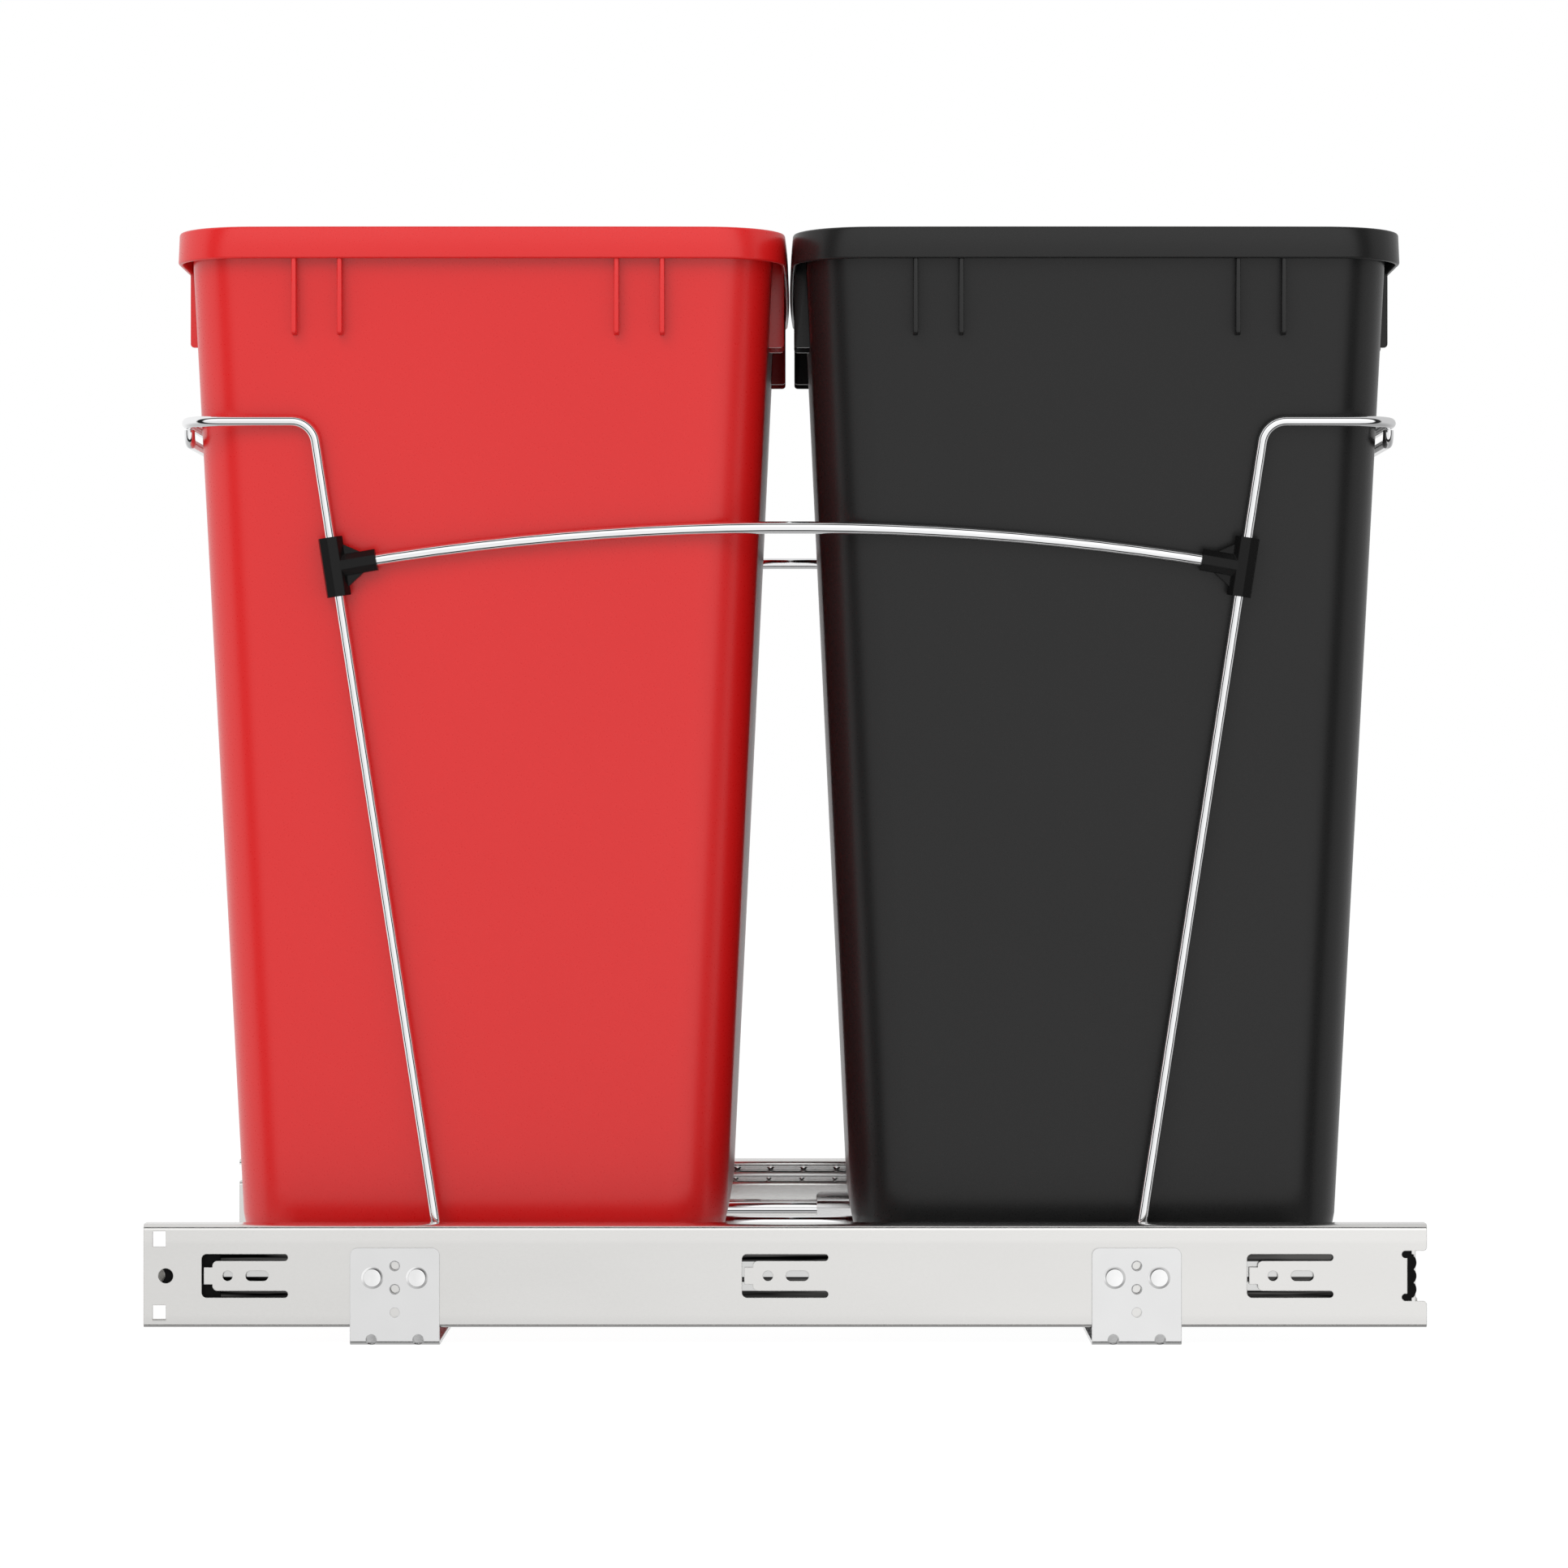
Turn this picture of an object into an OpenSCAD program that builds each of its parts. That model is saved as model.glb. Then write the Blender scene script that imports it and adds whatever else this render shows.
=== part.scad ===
// Pull-out frame for two bins, on a pair of full-extension ball slides.
// It pulls out along -X, +Z is up, and the right-hand slide is on -Y.
// The origin lies on the cabinet floor, under the middle of the slides.

/* [Slides] */
// Length of the cabinet rails
slide_len = 558.8; // [500:0.1:700]
// Height of the cabinet rails
slide_h = 45; // [44:0.5:50]
// Thickness of one closed slide
slide_t = 12.7; // [12.4:0.1:14]
// Sheet thickness of the rails
rail_wall = 1.2; // [1:0.05:1.4]
// Outer radius of the rolled rail corners
rail_bend_r = 2; // [1.8:0.1:2.2]
// Depth of the turned-in lip of a raceway
lip_drop = 2.5; // [2.4:0.1:2.8]
// How far the lips of the raceways stay behind the drawer rail's face
lip_setback = 0.5; // [0.4:0.05:0.7]
// Running gap between nested webs
run_gap = 0.4; // [0.3:0.05:0.5]
// Gap between the drawer rail's edges and the inner cage
drawer_edge_gap = 1.2; // [0.8:0.1:1.6]
// Height of the rails' underside above the cabinet floor
floor_gap = 7.5; // [5:0.5:12]
// How far the drawer rail stops short of the cabinet rail at the back
drawer_setback = 3.4; // [2:0.1:8]

/* [Balls and cages] */
// Diameter of the balls between cabinet rail and middle rail
outer_ball_d = 4; // [3.6:0.1:4.2]
// Diameter of the balls between middle rail and drawer rail
inner_ball_d = 3.2; // [2.8:0.1:3.4]
// Gap between a ball and its raceway
ball_gap = 0.35; // [0.3:0.05:0.4]
// Clearance of a ball in its pocket, on the diameter
pocket_play = 0.5; // [0.4:0.05:0.6]
// Sheet thickness of the ball cages
cage_wall = 0.6; // [0.5:0.05:0.7]
// Cage material left beyond the balls
cage_edge = 0.8; // [0.7:0.05:1]
// Length of the ball cages
cage_len = 236; // [160:2:240]
// Distance of the inner cage behind the outer one, closed
inner_cage_lag = 16; // [10:1:24]
// Balls in one row
ball_count = 14; // [8:1:18]

/* [Rail cut-outs] */
// Length of a bayonet tab's U-shaped cut
tab_len = 37.6; // [32:0.2:44]
// Height of the U-shaped cut in the cabinet rail
tab_h = 19; // [16:0.5:22]
// Height of the U-shaped cut in the drawer rail
drawer_tab_h = 12; // [10:0.5:12.5]
// Width of the cut's two arms
tab_slot = 3; // [2:0.1:3.4]
// Length of the wide front of the cut
tab_throat = 4.7; // [4:0.1:6]
// Corner radius of the cut and of the tab's shoulders
tab_corner_r = 2.2; // [1.4:0.1:2.6]
// Height of the tab's nose in the cabinet rail
tab_nose_h = 7.4; // [5:0.1:8]
// Height of the tab's nose in the drawer rail
drawer_nose_h = 4; // [3:0.1:5]
// Gap in front of the tab's nose
tab_nose_gap = 1; // [0.8:0.1:1.6]
// Distance from the rail's front end to the first tab
tab_front_inset = 25.3; // [22:0.1:40]
// Distance from the rail's back end to the last tab
tab_rear_inset = 40.7; // [30:0.1:60]
// Diameter of the screw hole in a tab
tab_hole_d = 4.4; // [3.5:0.1:4.6]
// Distance of the screw hole from the front of the cut
tab_hole_x = 11.3; // [10:0.1:13]
// Length of the screw slot in a tab
screw_slot_len = 10; // [8:0.1:11]
// Distance of the screw slot from the front of the cut
screw_slot_x = 19.1; // [17:0.1:20]
// Length of the two square holes at the front end
end_hole_len = 5.7; // [4:0.1:7]
// Height of the two square holes at the front end
end_hole_h = 6.7; // [5:0.1:7]
// Distance of the square holes from the front end
end_hole_inset = 4; // [3:0.1:6]
// Height of the square holes' middle above or below the rail's middle
end_hole_v = 16.1; // [15:0.1:16.5]
// Diameter of the round hole at the front end
end_bore_d = 6.5; // [4:0.1:8]
// Distance of the round hole from the front end
end_bore_x = 9.7; // [8:0.1:12]

/* [Stops] */
// Length of the notch at the back of the cabinet rail
notch_len = 8.5; // [8:0.1:12]
// Height of the rear bumper
bumper_h = 21.5; // [20:0.5:23]
// Height of the bent tab that holds the bumper
stop_tab_h = 15.5; // [14:0.5:16.5]
// Reach of the bent tab into the rail
stop_tab_reach = 9; // [6:0.1:10]
// Length of the bumper's lobes behind the tab
bumper_len = 3.8; // [3.4:0.1:5]
// Depth of the bumper across the slide
bumper_depth = 5.3; // [4:0.1:5.4]
// Height of the bumper's lobes over their valleys
lobe_bulge = 1.2; // [1:0.1:1.4]
// Spacing of the bumper's lobes
lobe_pitch = 5.8; // [5.4:0.1:6.2]
// Length of the notch's open mouth behind the bumper
mouth_len = 5; // [4.6:0.1:5.4]
// Corner radius of the fork ends beside the mouth
fork_r = 1.6; // [0.8:0.1:2.4]
// Length of the bumper's hooked ends
hook_len = 2.2; // [1.8:0.1:2.6]
// Fit gap round the bumper
bumper_fit = 0.2; // [0.1:0.05:0.3]
// Length of the middle rail's front stop
stop_len = 27.8; // [20:0.2:29]
// Distance of the front stop from the cabinet rail's front end
stop_inset = 5.4; // [4:0.1:8]
// Height of the front stop
stop_h = 22; // [18:0.5:26]
// Diameter of the front stop's hollow nose
stop_nose_d = 7.4; // [5:0.1:12]
// Depth of the front stop across the slide
stop_depth = 3; // [2:0.1:3.2]

/* [Cross straps] */
// Width over the two slides and the strap plates
frame_w = 376; // [340:1:450]
// Width of a cross strap along the slide
strap_w = 39; // [34:0.5:50]
// Sheet thickness of the straps
strap_t = 1.8; // [1.4:0.1:2.2]
// Height of the upright plates
strap_top = 42.3; // [40:0.1:45]
// Outer radius of the strap's bends
strap_bend_r = 2.6; // [2.3:0.1:4]
// Corner radius of the upright plates
strap_corner_r = 3.3; // [1:0.1:6]
// Distance of the front strap's middle from the front end
strap_front_inset = 109.5; // [95:0.5:150]
// Distance of the rear strap's middle from the back end
strap_rear_inset = 126.4; // [110:0.5:160]
// Diameter of the rivets
rivet_d = 4.8; // [4:0.1:5]
// Diameter of the rivet heads
rivet_head_d = 9.6; // [8:0.1:10.4]
// Height of the rivet heads
rivet_head_h = 1.7; // [1.2:0.1:2.4]
// Flat on top of the rivet heads
rivet_flat_d = 7.3; // [5:0.1:7.6]
// Spacing of the two rivets of a plate
rivet_pitch = 19.4; // [16:0.1:24]
// Height of the rivets
rivet_z = 29.4; // [27:0.1:32]
// Fit gap between rivet and hole
rivet_fit = 0.1; // [0.05:0.05:0.2]
// Diameter of the spare holes on a plate's middle line
pilot_d = 4.2; // [3:0.1:4.6]
// Height of the highest spare hole
pilot_top_z = 34.5; // [33.5:0.1:36]
// Spacing of the spare holes
pilot_pitch = 10.15; // [8:0.05:10.5]
// Spacing of the relief holes in a bend
relief_pitch = 20.4; // [16:0.1:26]
// Diameter of the relief holes in a bend
relief_d = 4.7; // [3:0.1:5]
// Diameter of the floor screw holes
floor_hole_d = 5.2; // [4:0.1:6.5]
// Spacing of the floor screw holes across the frame
floor_hole_pitch = 280; // [240:1:300]

/* [Bins] */
// Length of a bin's rim along the slides
bin_len = 270.4; // [240:0.2:274]
// Gap between a bin's rim and the outside of the straps
bin_side_gap = 7; // [6:0.5:20]
// Height of a bin
bin_h = 451; // [420:1:480]
// Gap between the two bins' rims
bin_gap = 1.4; // [0.6:0.1:6]
// How far the bins' common middle lies behind the slides' middle
bins_x = 1.6; // [-3:0.1:3]
// Wall thickness of a bin
bin_wall = 2.5; // [1.8:0.1:3]
// Draft angle of the sides
bin_draft = 2.72; // [2:0.02:3.2]
// Overhang of the rim
rim_overhang = 6; // [5:0.1:10]
// Height of the rim's skirt
rim_h = 14; // [10:0.5:20]
// Wall thickness of the rim
rim_wall = 2.2; // [1.6:0.1:3]
// How much the skirt flares outwards at its lower edge
rim_flare = 0.5; // [0:0.1:2]
// Corner radius of the rim
rim_r = 34; // [28:1:45]
// Corner radius of the body under the rim
body_r = 27; // [22:1:34]
// Outward crown of the sides
side_crown = 0.5; // [0.2:0.1:3]
// Radius of the bottom edge
bottom_r = 16; // [8:1:22]
// Thickness of the stacking ribs
rib_t = 2; // [1.4:0.1:3]
// Height of the stacking ribs' lower end below the rim's top
rib_drop = 47; // [30:1:70]
// How far the ribs stay behind the rim's edge
rib_setback = 1; // [0.8:0.1:3]
// Radius of the ribs' lower corners
rib_end_r = 1.5; // [0.5:0.1:3]
// Spacing of the ribs in a pair on the long sides
side_rib_gap = 20; // [14:0.5:30]
// Spacing of the two pairs on the long sides
side_pair_pitch = 141; // [120:1:150]
// Spacing of the ribs in a pair on the end faces
end_rib_gap = 26; // [16:0.5:34]
// Spacing of the two pairs on the end faces
end_pair_pitch = 200; // [160:1:220]

/* [Wire frame] */
// Diameter of the hoop wire
hoop_wire_d = 4.6; // [4:0.1:5]
// Height of the hoops' middle line
hoop_z = 403; // [360:1:420]
// Gap between a hoop and its bin
hoop_gap = 1.7; // [1:0.1:2]
// Distance of the hoop's knee from the bins' common middle
knee_x = 208.7; // [200:0.1:216]
// Distance of the hoop's foot from the bins' common middle
foot_x = 151.2; // [140:0.1:165]
// Bend radius of the knees
knee_r = 10.5; // [8:0.5:16]
// Bend radius of the hoop's end corners
corner_bend_r = 15; // [8:0.5:24]
// Bend radius at the feet
foot_r = 12; // [8:0.5:14]
// Drop of the lower bar below the hoop's end bar
lower_bar_drop = 8; // [7.5:0.1:12]
// Distance between the lower bar's turned-up ends
lower_bar_len = 306; // [240:1:310]
// Diameter of the arched side rails
arch_d = 5.4; // [4.6:0.1:5.6]
// Height of the arch's crown
arch_z = 356.6; // [350:0.1:370]

/* [Connectors] */
// Height of the connectors on the uprights
tee_z = 339.3; // [320:0.1:345]
// Length of a connector's sleeve
tee_len = 26; // [22:0.5:34]
// Width of the sleeve over its flats
tee_w = 10.2; // [9:0.1:11]
// Clearance between a connector's flat back and the bin
tee_gap = 0.6; // [0.4:0.1:1]
// Width of the stem over its flats
stem_w = 9.3; // [8.4:0.1:9.6]
// Length of the stem from the sleeve's axis
stem_len = 18.6; // [15:0.1:26]
// Height of the triangular webs
web_rise = 5.6; // [4:0.1:6.5]
// Length of the triangular webs
web_run = 10; // [8:0.1:11]
// Thickness of the triangular webs
web_t = 3; // [2:0.1:4]
// Depth of the arch's socket in the stem
socket_depth = 10; // [7:0.1:11]
// Clearance of the upright in its connector, on the radius
wire_fit = 0.12; // [0.1:0.01:0.2]
// Clearance of the arched rail in its connector, on the radius
arch_fit = 0.2; // [0.16:0.01:0.3]

/* [Base] */
// Diameter of the long base wires
base_wire_d = 6.3; // [5:0.1:6.5]
// Height of the long base wires
base_wire_z = 28.7; // [27:0.1:31]
// Length of the long base wires
base_wire_len = 500; // [480:1:510]
// Spacing of the two inner base wires
inner_wire_pitch = 170; // [120:1:220]
// Diameter of the cross wires
cross_wire_d = 4.6; // [4:0.1:5.5]
// Spacing of the two cross wires under one bin
cross_pitch = 180; // [140:1:190]
// Gap at a weld or at a seat
seat_gap = 0.1; // [0.05:0.05:0.2]
// Gap between a bin and the wires it stands on
rest_gap = 0.25; // [0.2:0.05:0.4]
// Length of the tabs that hook the base wires to the drawer rails
joint_tab_len = 28; // [26:1:30]
// Gap between a tab and the next cross wire
tab_wire_gap = 2; // [1:0.1:4]
// Height of the tabs' lower edge
joint_tab_low = 16; // [15:0.1:17]
// Depth of the tabs' hooks below the wire's middle
hook_drop = 4.8; // [3:0.1:5]
// Sheet thickness of the tabs
joint_tab_t = 1.6; // [1.2:0.1:2]
// Diameter of the tab screws
tab_screw_d = 3.5; // [3:0.1:3.6]
// Diameter of the tab screws' heads
tab_head_d = 6.5; // [5:0.1:6.6]
// Height of the tab screws' heads
tab_head_h = 2; // [1.4:0.1:2.4]
// Spacing of the two screws of a tab
tab_screw_pitch = 16; // [14:1:18]
// Height of the tab screws
tab_screw_z = 21.6; // [21.4:0.1:21.8]

/* [Hidden] */
$fn = 48;
cut = 1;
// Cuts through a web end a skim beyond it, short of the piece behind
skim = 0.25;
// Thickness of the sections that a loft is drawn over
section_t = 0.01;
// Steps of the bins' bottom edge, of a quarter corner and of a crowned side
edge_steps = 5;
corner_steps = 8;
side_steps = 6;
// Bends are a hair thicker than the runs, which end inside them
bend_swell = 0.04;
splice = 0.3;
front_x = -slide_len / 2;
rear_x = slide_len / 2;
half_h = slide_h / 2;
slide_z = floor_gap + half_h;
half_w = frame_w / 2;
bin_w = frame_w - 2 * bin_side_gap;
bin_pitch = bin_len + bin_gap;
rail_y = half_w - strap_t;
drawer_face_y = rail_y - slide_t;

// Section of a slide: u runs inwards from the rail's outer face, v up from its middle
outer_ball_v = half_h - rail_wall - ball_gap - outer_ball_d / 2;
middle_half = outer_ball_v - outer_ball_d / 2 - ball_gap;
inner_ball_v = middle_half - rail_wall - ball_gap - inner_ball_d / 2;
drawer_half = inner_ball_v - inner_ball_d / 2 - ball_gap;
lip_u = slide_t - lip_setback;
outer_cage_u = rail_wall + run_gap;
middle_u = outer_cage_u + cage_wall + run_gap;
inner_cage_u = middle_u + rail_wall + run_gap;
drawer_edge_u = inner_cage_u + cage_wall + drawer_edge_gap;
outer_ball_u = (middle_u + slide_t) / 2;
inner_ball_u = (drawer_edge_u + slide_t - rail_bend_r) / 2;
cage_bend_r = 2 * cage_wall;

// Lengths along the slide
notch_x = rear_x - notch_len;
hook_h = (bumper_h - stop_tab_h) / 2 - bumper_fit;
middle_front_x = front_x + stop_inset + stop_len + bumper_fit;
middle_rear_x = notch_x - hook_len - 3 * bumper_fit;
drawer_rear_x = rear_x - drawer_setback;
cabinet_tabs = [front_x + tab_front_inset, -tab_len / 2, rear_x - tab_rear_inset - tab_len];
strap_x = [front_x + strap_front_inset, rear_x - strap_rear_inset];

// Places of the cross wires and of the joint tabs beside them
inner_cross = (bin_pitch - cross_pitch) / 2;
outer_cross = (bin_pitch + cross_pitch) / 2;
tab_offset = (cross_wire_d + joint_tab_len) / 2 + tab_wire_gap;
joint_tab_x = [
    bins_x - outer_cross + tab_offset,
    bins_x + inner_cross - tab_offset,
    bins_x + outer_cross - tab_offset
];
drawer_tab_front = joint_tab_x[1] - joint_tab_len / 2;

// Heights of the base and the bins
base_wire_y = drawer_face_y - joint_tab_t - 2 * seat_gap - base_wire_d / 2;
cross_z = base_wire_z + base_wire_d / 2 + seat_gap + cross_wire_d / 2;
bin_z = cross_z + cross_wire_d / 2 + rest_gap;
rim_z = bin_z + bin_h;

// Half sizes of a bin's body at a height
function body_x(z) = bin_len / 2 - rim_overhang - (rim_z - z) * tan(bin_draft);
function body_y(z) = bin_w / 2 - rim_overhang - (rim_z - z) * tan(bin_draft);

// Corner points of the rear hoop's right half
hoop_y = body_y(hoop_z) + hoop_gap + hoop_wire_d / 2;
bar_x = bin_pitch / 2 + body_x(hoop_z) + hoop_gap + hoop_wire_d / 2;
foot_y = base_wire_y - (base_wire_d + hoop_wire_d) / 2 - 3 * seat_gap;
foot_z = base_wire_z - (base_wire_d + hoop_wire_d) / 2 - seat_gap;
foot = [foot_x, -foot_y, foot_z];
knee = [knee_x, -hoop_y, hoop_z];
upright = (knee - foot) / norm(knee - foot);
tee_at = foot + upright * (tee_z - foot_z) / upright.z;
tee_back = -tee_at.y - body_y(tee_z) - tee_gap;

// The arch is a circle through the connectors' axes and the crown
arch_rise = arch_z - tee_z;
arch_r = (tee_at.x * tee_at.x + arch_rise * arch_rise) / (2 * arch_rise);
arch_tilt = asin(tee_at.x / arch_r);
arch_end = arch_tilt - asin((stem_len - socket_depth + arch_fit) / arch_r);

steel = "gainsboro";
chrome = "lightgray";
rubber = "dimgray";

// Placing helpers
module left_hand() { mirror([0, 1, 0]) children(); }
module in_frame() { translate([bins_x, 0, 0]) children(); }
module front_end() { mirror([1, 0, 0]) children(); }

// A section drawn in u and v, run along the right-hand slide from x0 to x1
module along_slide(x0, x1) {
    translate([x0, -rail_y, slide_z])
        rotate([90, 0, 90])
            linear_extrude(x1 - x0) children();
}

// A shape drawn in x and v, cut into the right-hand slide from depth u0 to u1
module through_slide(u0, u1) {
    translate([0, u1 - rail_y, slide_z])
        rotate([90, 0, 0])
            linear_extrude(u1 - u0) children();
}

// Quarter of a bent sheet: su and sv say which way its corner points
module quarter_bend(u, v, r, wall, su, sv) {
    translate([u, v]) intersection() {
        difference() {
            circle(r);
            circle(r - wall);
        }
        translate([su < 0 ? -r : 0, sv < 0 ? -r : 0]) square(r);
    }
}

// Rolled channel with its web at u0 and its flanges running to u1, in either direction
module channel(half, u0, u1, wall, r, drop) {
    way = u1 > u0 ? 1 : -1;
    translate([way > 0 ? u0 : u0 - wall, r - half]) square([wall, 2 * (half - r)]);
    for (side = [-1, 1]) {
        flange_v = side > 0 ? half - wall : -half;
        quarter_bend(u0 + way * r, side * (half - r), r, wall, -way, side);
        flange_end = drop > 0 ? u1 - way * r : u1;
        translate([min(u0 + way * r, flange_end), flange_v])
            square([abs(flange_end - u0) - r, wall]);
        if (drop > 0) {
            quarter_bend(u1 - way * r, side * (half - r), r, wall, way, side);
            translate([way > 0 ? u1 - wall : u1, side > 0 ? half - drop : r - half])
                square([wall, drop - r]);
        }
    }
}

// Obround of a given length and width, starting at x
module slot_shape(x, len, width) {
    translate([x + width / 2, -width / 2]) square([len - width, width]);
    for (end = [x + width / 2, x + len - width / 2]) translate([end, 0]) circle(d = width);
}

// Strip from x0 to x1 with two rounded corners at its front
module blunt_strip(x0, x1, half, r) {
    translate([x0 + r, -half]) square([x1 - x0 - r, 2 * half]);
    translate([x0, r - half]) square([r, 2 * (half - r)]);
    for (side = [-1, 1]) translate([x0 + r, side * (half - r)]) circle(r);
}

// U-shaped cut that frees a bayonet tab, with the tab's nose, screw hole and slot
module tab_cut(x, height, nose_h) {
    tab_half = height / 2 - tab_slot;
    arm_end = tab_len - tab_slot / 2;
    translate([x, 0]) {
        difference() {
            union() {
                blunt_strip(0, arm_end, height / 2, tab_corner_r);
                for (side = [-1, 1])
                    translate([arm_end, side * (tab_half + tab_slot / 2)]) circle(d = tab_slot);
            }
            blunt_strip(tab_throat, tab_len, tab_half, tab_corner_r);
            translate([tab_nose_gap, -nose_h / 2])
                square([tab_throat + tab_corner_r - tab_nose_gap, nose_h]);
        }
        translate([tab_hole_x, 0]) circle(d = tab_hole_d);
        slot_shape(screw_slot_x, screw_slot_len, tab_hole_d);
    }
}

// Cabinet rail: C-shaped outer raceway with its tabs, end holes, notch and bent stop tab
module cabinet_rail() {
    color(steel) {
        difference() {
            along_slide(front_x, rear_x) channel(half_h, 0, lip_u, rail_wall, rail_bend_r, lip_drop);
            through_slide(-cut, rail_wall + skim) {
                for (x = cabinet_tabs) tab_cut(x, tab_h, tab_nose_h);
                translate([front_x + end_bore_x, 0]) circle(d = end_bore_d);
                for (side = [-1, 1])
                    translate([front_x + end_hole_inset, side * end_hole_v - end_hole_h / 2])
                        square([end_hole_len, end_hole_h]);
                bumper_outline(bumper_fit);
                notch_mouth();
                for (x = strap_x, side = [-1, 1])
                    translate([x + side * rivet_pitch / 2, rivet_z - slide_z])
                        circle(d = rivet_d + 2 * rivet_fit);
            }
        }
        through_slide(0, stop_tab_reach)
            translate([notch_x - rail_wall, -stop_tab_h / 2]) square([rail_wall, stop_tab_h]);
    }
}

// Open mouth of the notch, with its two fork ends rounded
module notch_mouth() {
    half = bumper_h / 2 + bumper_fit;
    translate([rear_x - mouth_len, -half]) square([mouth_len + cut, 2 * half]);
    translate([notch_x, -lobe_pitch]) square([notch_len, 2 * lobe_pitch]);
    for (side = [-1, 1])
        translate([rear_x - fork_r, side * (half + fork_r)])
            difference() {
                translate([0, -(side + 1) / 2 * fork_r]) square([fork_r + cut, fork_r]);
                circle(fork_r);
            }
}

// One hooked end of the bumper, which wraps the end of the stop tab
module bumper_hook(side, grow) {
    mid_v = side * (bumper_h - hook_h) / 2;
    hook_r = hook_h / 2 + grow;
    bulb_x = notch_x - hook_len + hook_h / 2;
    translate([bulb_x, mid_v]) circle(hook_r);
    translate([bulb_x, mid_v - hook_r]) square([notch_x + bumper_len / 2 - bulb_x, 2 * hook_r]);
}

// Outline of the bumper with its hooks and three lobes, grown by a gap
module bumper_outline(grow) {
    back_x = notch_x + bumper_fit - grow;
    strip_half = (bumper_h - hook_h) / 2;
    lobe_r = (pow(lobe_pitch / 2, 2) + pow(lobe_bulge, 2)) / (2 * lobe_bulge);
    translate([back_x, -strip_half]) square([bumper_len - lobe_bulge + grow, 2 * strip_half]);
    intersection() {
        for (row = [-1, 0, 1])
            translate([notch_x + bumper_fit + bumper_len - lobe_r, row * lobe_pitch]) circle(lobe_r + grow);
        translate([back_x, -bumper_h / 2]) square([bumper_len + 2 * grow, bumper_h]);
    }
    for (side = [-1, 1]) bumper_hook(side, grow);
}

// Rubber bumper with three lobes, clipped round the stop tab
module rear_bumper() {
    color(rubber) through_slide(0, bumper_depth) bumper_outline(0);
}

// Cage of one ball row pair: a thin channel with a pocket for every ball
module ball_cage(x, web_u, ball_u, ball_v, ball_d) {
    edge_u = ball_u + ball_d / 2 + cage_edge;
    color(steel)
        difference() {
            along_slide(x - cage_len / 2, x + cage_len / 2)
                channel(ball_v + cage_wall / 2, web_u, edge_u, cage_wall, cage_bend_r, 0);
            each_ball(x, ball_u, ball_v)
                cylinder(d = ball_d + pocket_play, h = 4 * cage_wall, center = true);
        }
}

module balls(x, ball_u, ball_v, ball_d) {
    color("white") each_ball(x, ball_u, ball_v) sphere(d = ball_d);
}

module each_ball(x, ball_u, ball_v) {
    step = cage_len / ball_count;
    for (i = [0 : ball_count - 1], side = [-1, 1])
        translate([x - cage_len / 2 + (i + 0.5) * step, ball_u - rail_y, slide_z + side * ball_v])
            children();
}

module outer_cage() { ball_cage(0, outer_cage_u, outer_ball_u, outer_ball_v, outer_ball_d); }
module outer_balls() { balls(0, outer_ball_u, outer_ball_v, outer_ball_d); }
module inner_cage() { ball_cage(inner_cage_lag, inner_cage_u, inner_ball_u, inner_ball_v, inner_ball_d); }
module inner_balls() { balls(inner_cage_lag, inner_ball_u, inner_ball_v, inner_ball_d); }

// Middle rail, and the plastic stop that closes its front end
module middle_rail() {
    color(steel)
        along_slide(middle_front_x, middle_rear_x)
            channel(middle_half, middle_u, lip_u, rail_wall, rail_bend_r, lip_drop);
}

module front_stop() {
    color(rubber)
        through_slide(middle_u, middle_u + stop_depth) difference() {
            translate([front_x + stop_inset, -stop_h / 2]) square([stop_len, stop_h]);
            translate([front_x + stop_inset, 0]) circle(d = stop_nose_d);
        }
}

// Drawer rail: its web faces the bins and takes the screws of the joint tabs
module drawer_rail() {
    color(steel)
        difference() {
            along_slide(front_x, drawer_rear_x)
                channel(drawer_half, slide_t, drawer_edge_u, rail_wall, rail_bend_r, 0);
            through_slide(slide_t - rail_wall - skim, slide_t + cut) {
                tab_cut(drawer_tab_front, drawer_tab_h, drawer_nose_h);
                slot_shape(drawer_tab_front - tab_len, screw_slot_len, tab_hole_d);
                for (x = [front_x + tab_front_inset, drawer_rear_x - tab_rear_inset])
                    slot_shape(x, screw_slot_len, tab_hole_d);
            }
            each_tab_screw() cylinder(d = tab_screw_d + 2 * seat_gap, h = slide_t / 2, center = true);
        }
}

// Screw axes of the joint tabs on the right-hand side, at the drawer rail's face
module each_tab_screw() {
    for (x = joint_tab_x, side = [-1, 1])
        translate([x + side * tab_screw_pitch / 2, -drawer_face_y, tab_screw_z])
            rotate([90, 0, 0]) children();
}

// Joint tab: screwed to the drawer rail, with a hook over the base wire
module joint_tabs() {
    hook_r = base_wire_d / 2 + seat_gap;
    wire_y = drawer_face_y - base_wire_y;
    color(steel)
        difference() {
            for (x = joint_tab_x)
                translate([x - joint_tab_len / 2, -drawer_face_y, 0])
                    rotate([90, 0, 90])
                        linear_extrude(joint_tab_len) {
                            translate([seat_gap, joint_tab_low])
                                square([joint_tab_t, base_wire_z - joint_tab_low]);
                            for (side = [-1, 1])
                                quarter_bend(wire_y, base_wire_z, hook_r + joint_tab_t, joint_tab_t, side, 1);
                            translate([wire_y + hook_r, base_wire_z - hook_drop])
                                square([joint_tab_t, hook_drop]);
                        }
            each_tab_screw() cylinder(d = tab_screw_d + 2 * seat_gap, h = 4 * joint_tab_t, center = true);
        }
}

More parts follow.
